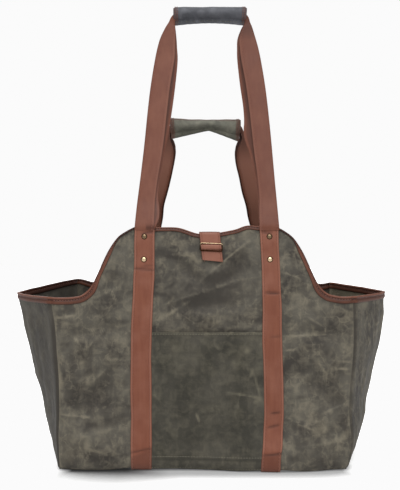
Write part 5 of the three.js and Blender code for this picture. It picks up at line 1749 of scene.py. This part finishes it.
def ring_loft(name, line, radius, flat, brass_darkening, closed):
    """A brass bar of round section along a line that lies in the slide's plane."""
    if closed:
        along = unit(np.roll(line, -1, axis=0) - np.roll(line, 1, axis=0))
    else:
        along = unit(np.gradient(line, axis=0))
    side = unit(np.cross(along, flat))
    angle = np.linspace(0, 2 * math.pi, 13)[:-1]
    rings = line[:, None] + radius * (side[:, None] * np.cos(angle)[:, None] + flat * np.sin(angle)[:, None])
    # Painted shade on the lower half of each bar
    under = smoothstep((line[:, None] - rings)[..., 2] / radius, -0.1, 0.5)
    marks = {"brass_darkening": np.maximum(brass_darkening[:, None], under)}
    return make_loft(name, rings, BRASS, marks, closed=closed, sharp=60)


def add_slide():
    _, _, away, up = profile(SLIDE_Z - ROLL_Z)
    out = np.array([0.0, -float(away), float(up)])
    tall = np.cross(np.array([1.0, 0.0, 0.0]), out)
    tall = tall * np.sign(tall[2])
    middle = on_panel(-1, TAB_X, SLIDE_Z - ROLL_Z, SLIDE_LIFT)
    half_wide = SLIDE_WIDE / 2 - SLIDE_BAR / 2
    half_high = SLIDE_HIGH / 2 - SLIDE_BAR / 2
    corner_angles = np.linspace(0, math.pi / 2, 7)
    outline = []
    for quarter, (sx, sz) in enumerate([(1, 1), (-1, 1), (-1, -1), (1, -1)]):
        angle = corner_angles + quarter * math.pi / 2
        outline += list(zip(sx * (half_wide - SLIDE_CORNER) + SLIDE_CORNER * np.cos(angle),
                            sz * (half_high - SLIDE_CORNER) + SLIDE_CORNER * np.sin(angle)))
    outline = np.array(outline)
    tilt = math.radians(SLIDE_TILT)
    across = np.array([math.cos(tilt), 0.0, 0.0]) - tall * math.sin(tilt)
    upright = np.array([math.sin(tilt), 0.0, 0.0]) + tall * math.cos(tilt)
    ring = middle + outline[:, :1] * across + outline[:, 1:] * upright
    # Painted shade and dark reflection over the frame, least on the upper side of the top bar
    brass_darkening = np.maximum(smoothstep(half_high - outline[:, 1], 0.8, 2.5), 0.4)
    frame_bar = ring_loft("slide_frame", ring, SLIDE_BAR / 2, out, brass_darkening, True)
    # The middle bar lies behind the tab and is painted wholly in shade
    bar_line = middle + np.linspace(-half_wide, half_wide, BAR_POINTS)[:, None] * across
    middle_bar = ring_loft("slide_bar", bar_line, SLIDE_BAR / 2 * 0.95, out, np.ones(BAR_POINTS), False)
    finish_piece(frame_bar, "brass", "tab_slide")
    finish_piece(middle_bar, "brass")


def add_rivets():
    wall = STRAP_LIFT_AT_RIM + STRAP_THICK / 2 + CANVAS
    for row, z in RIVET_ROWS.items():
        _, _, away, up = profile(z - ROLL_Z)
        lift = strap_lift(z) + STRAP_THICK / 2 + RIVET_PROUD
        places = []
        facing = []
        nodes = []
        for face_name, face in FACES.items():
            for side_name, side in SIDES.items():
                places.append(on_panel(face, strap_x(side, z), z - ROLL_Z, lift))
                facing.append((0.0, face * float(away), float(up)))
                nodes.append(f"{face_name}_{side_name}_rivet_{row}")
        values = {"Cap Radius": RIVET_CAP * MM, "Cap High": RIVET_CAP_HIGH * MM, "Wall": wall * MM,
                  "Darkness": RIVET_DARKNESS[row], "Finish": BRASS}
        finish_piece(grown(f"{row}_rivets", places, [], RIVETS, values, facing), "brass", *nodes)


add_camera()
add_backdrop()
add_paper()
add_suns()
add_panels()
add_gussets()
add_floor()
add_pocket()
add_pocket_stitches()
add_binding()
add_straps()
add_handles()
add_grips()
add_tab()
add_slide()
add_rivets()
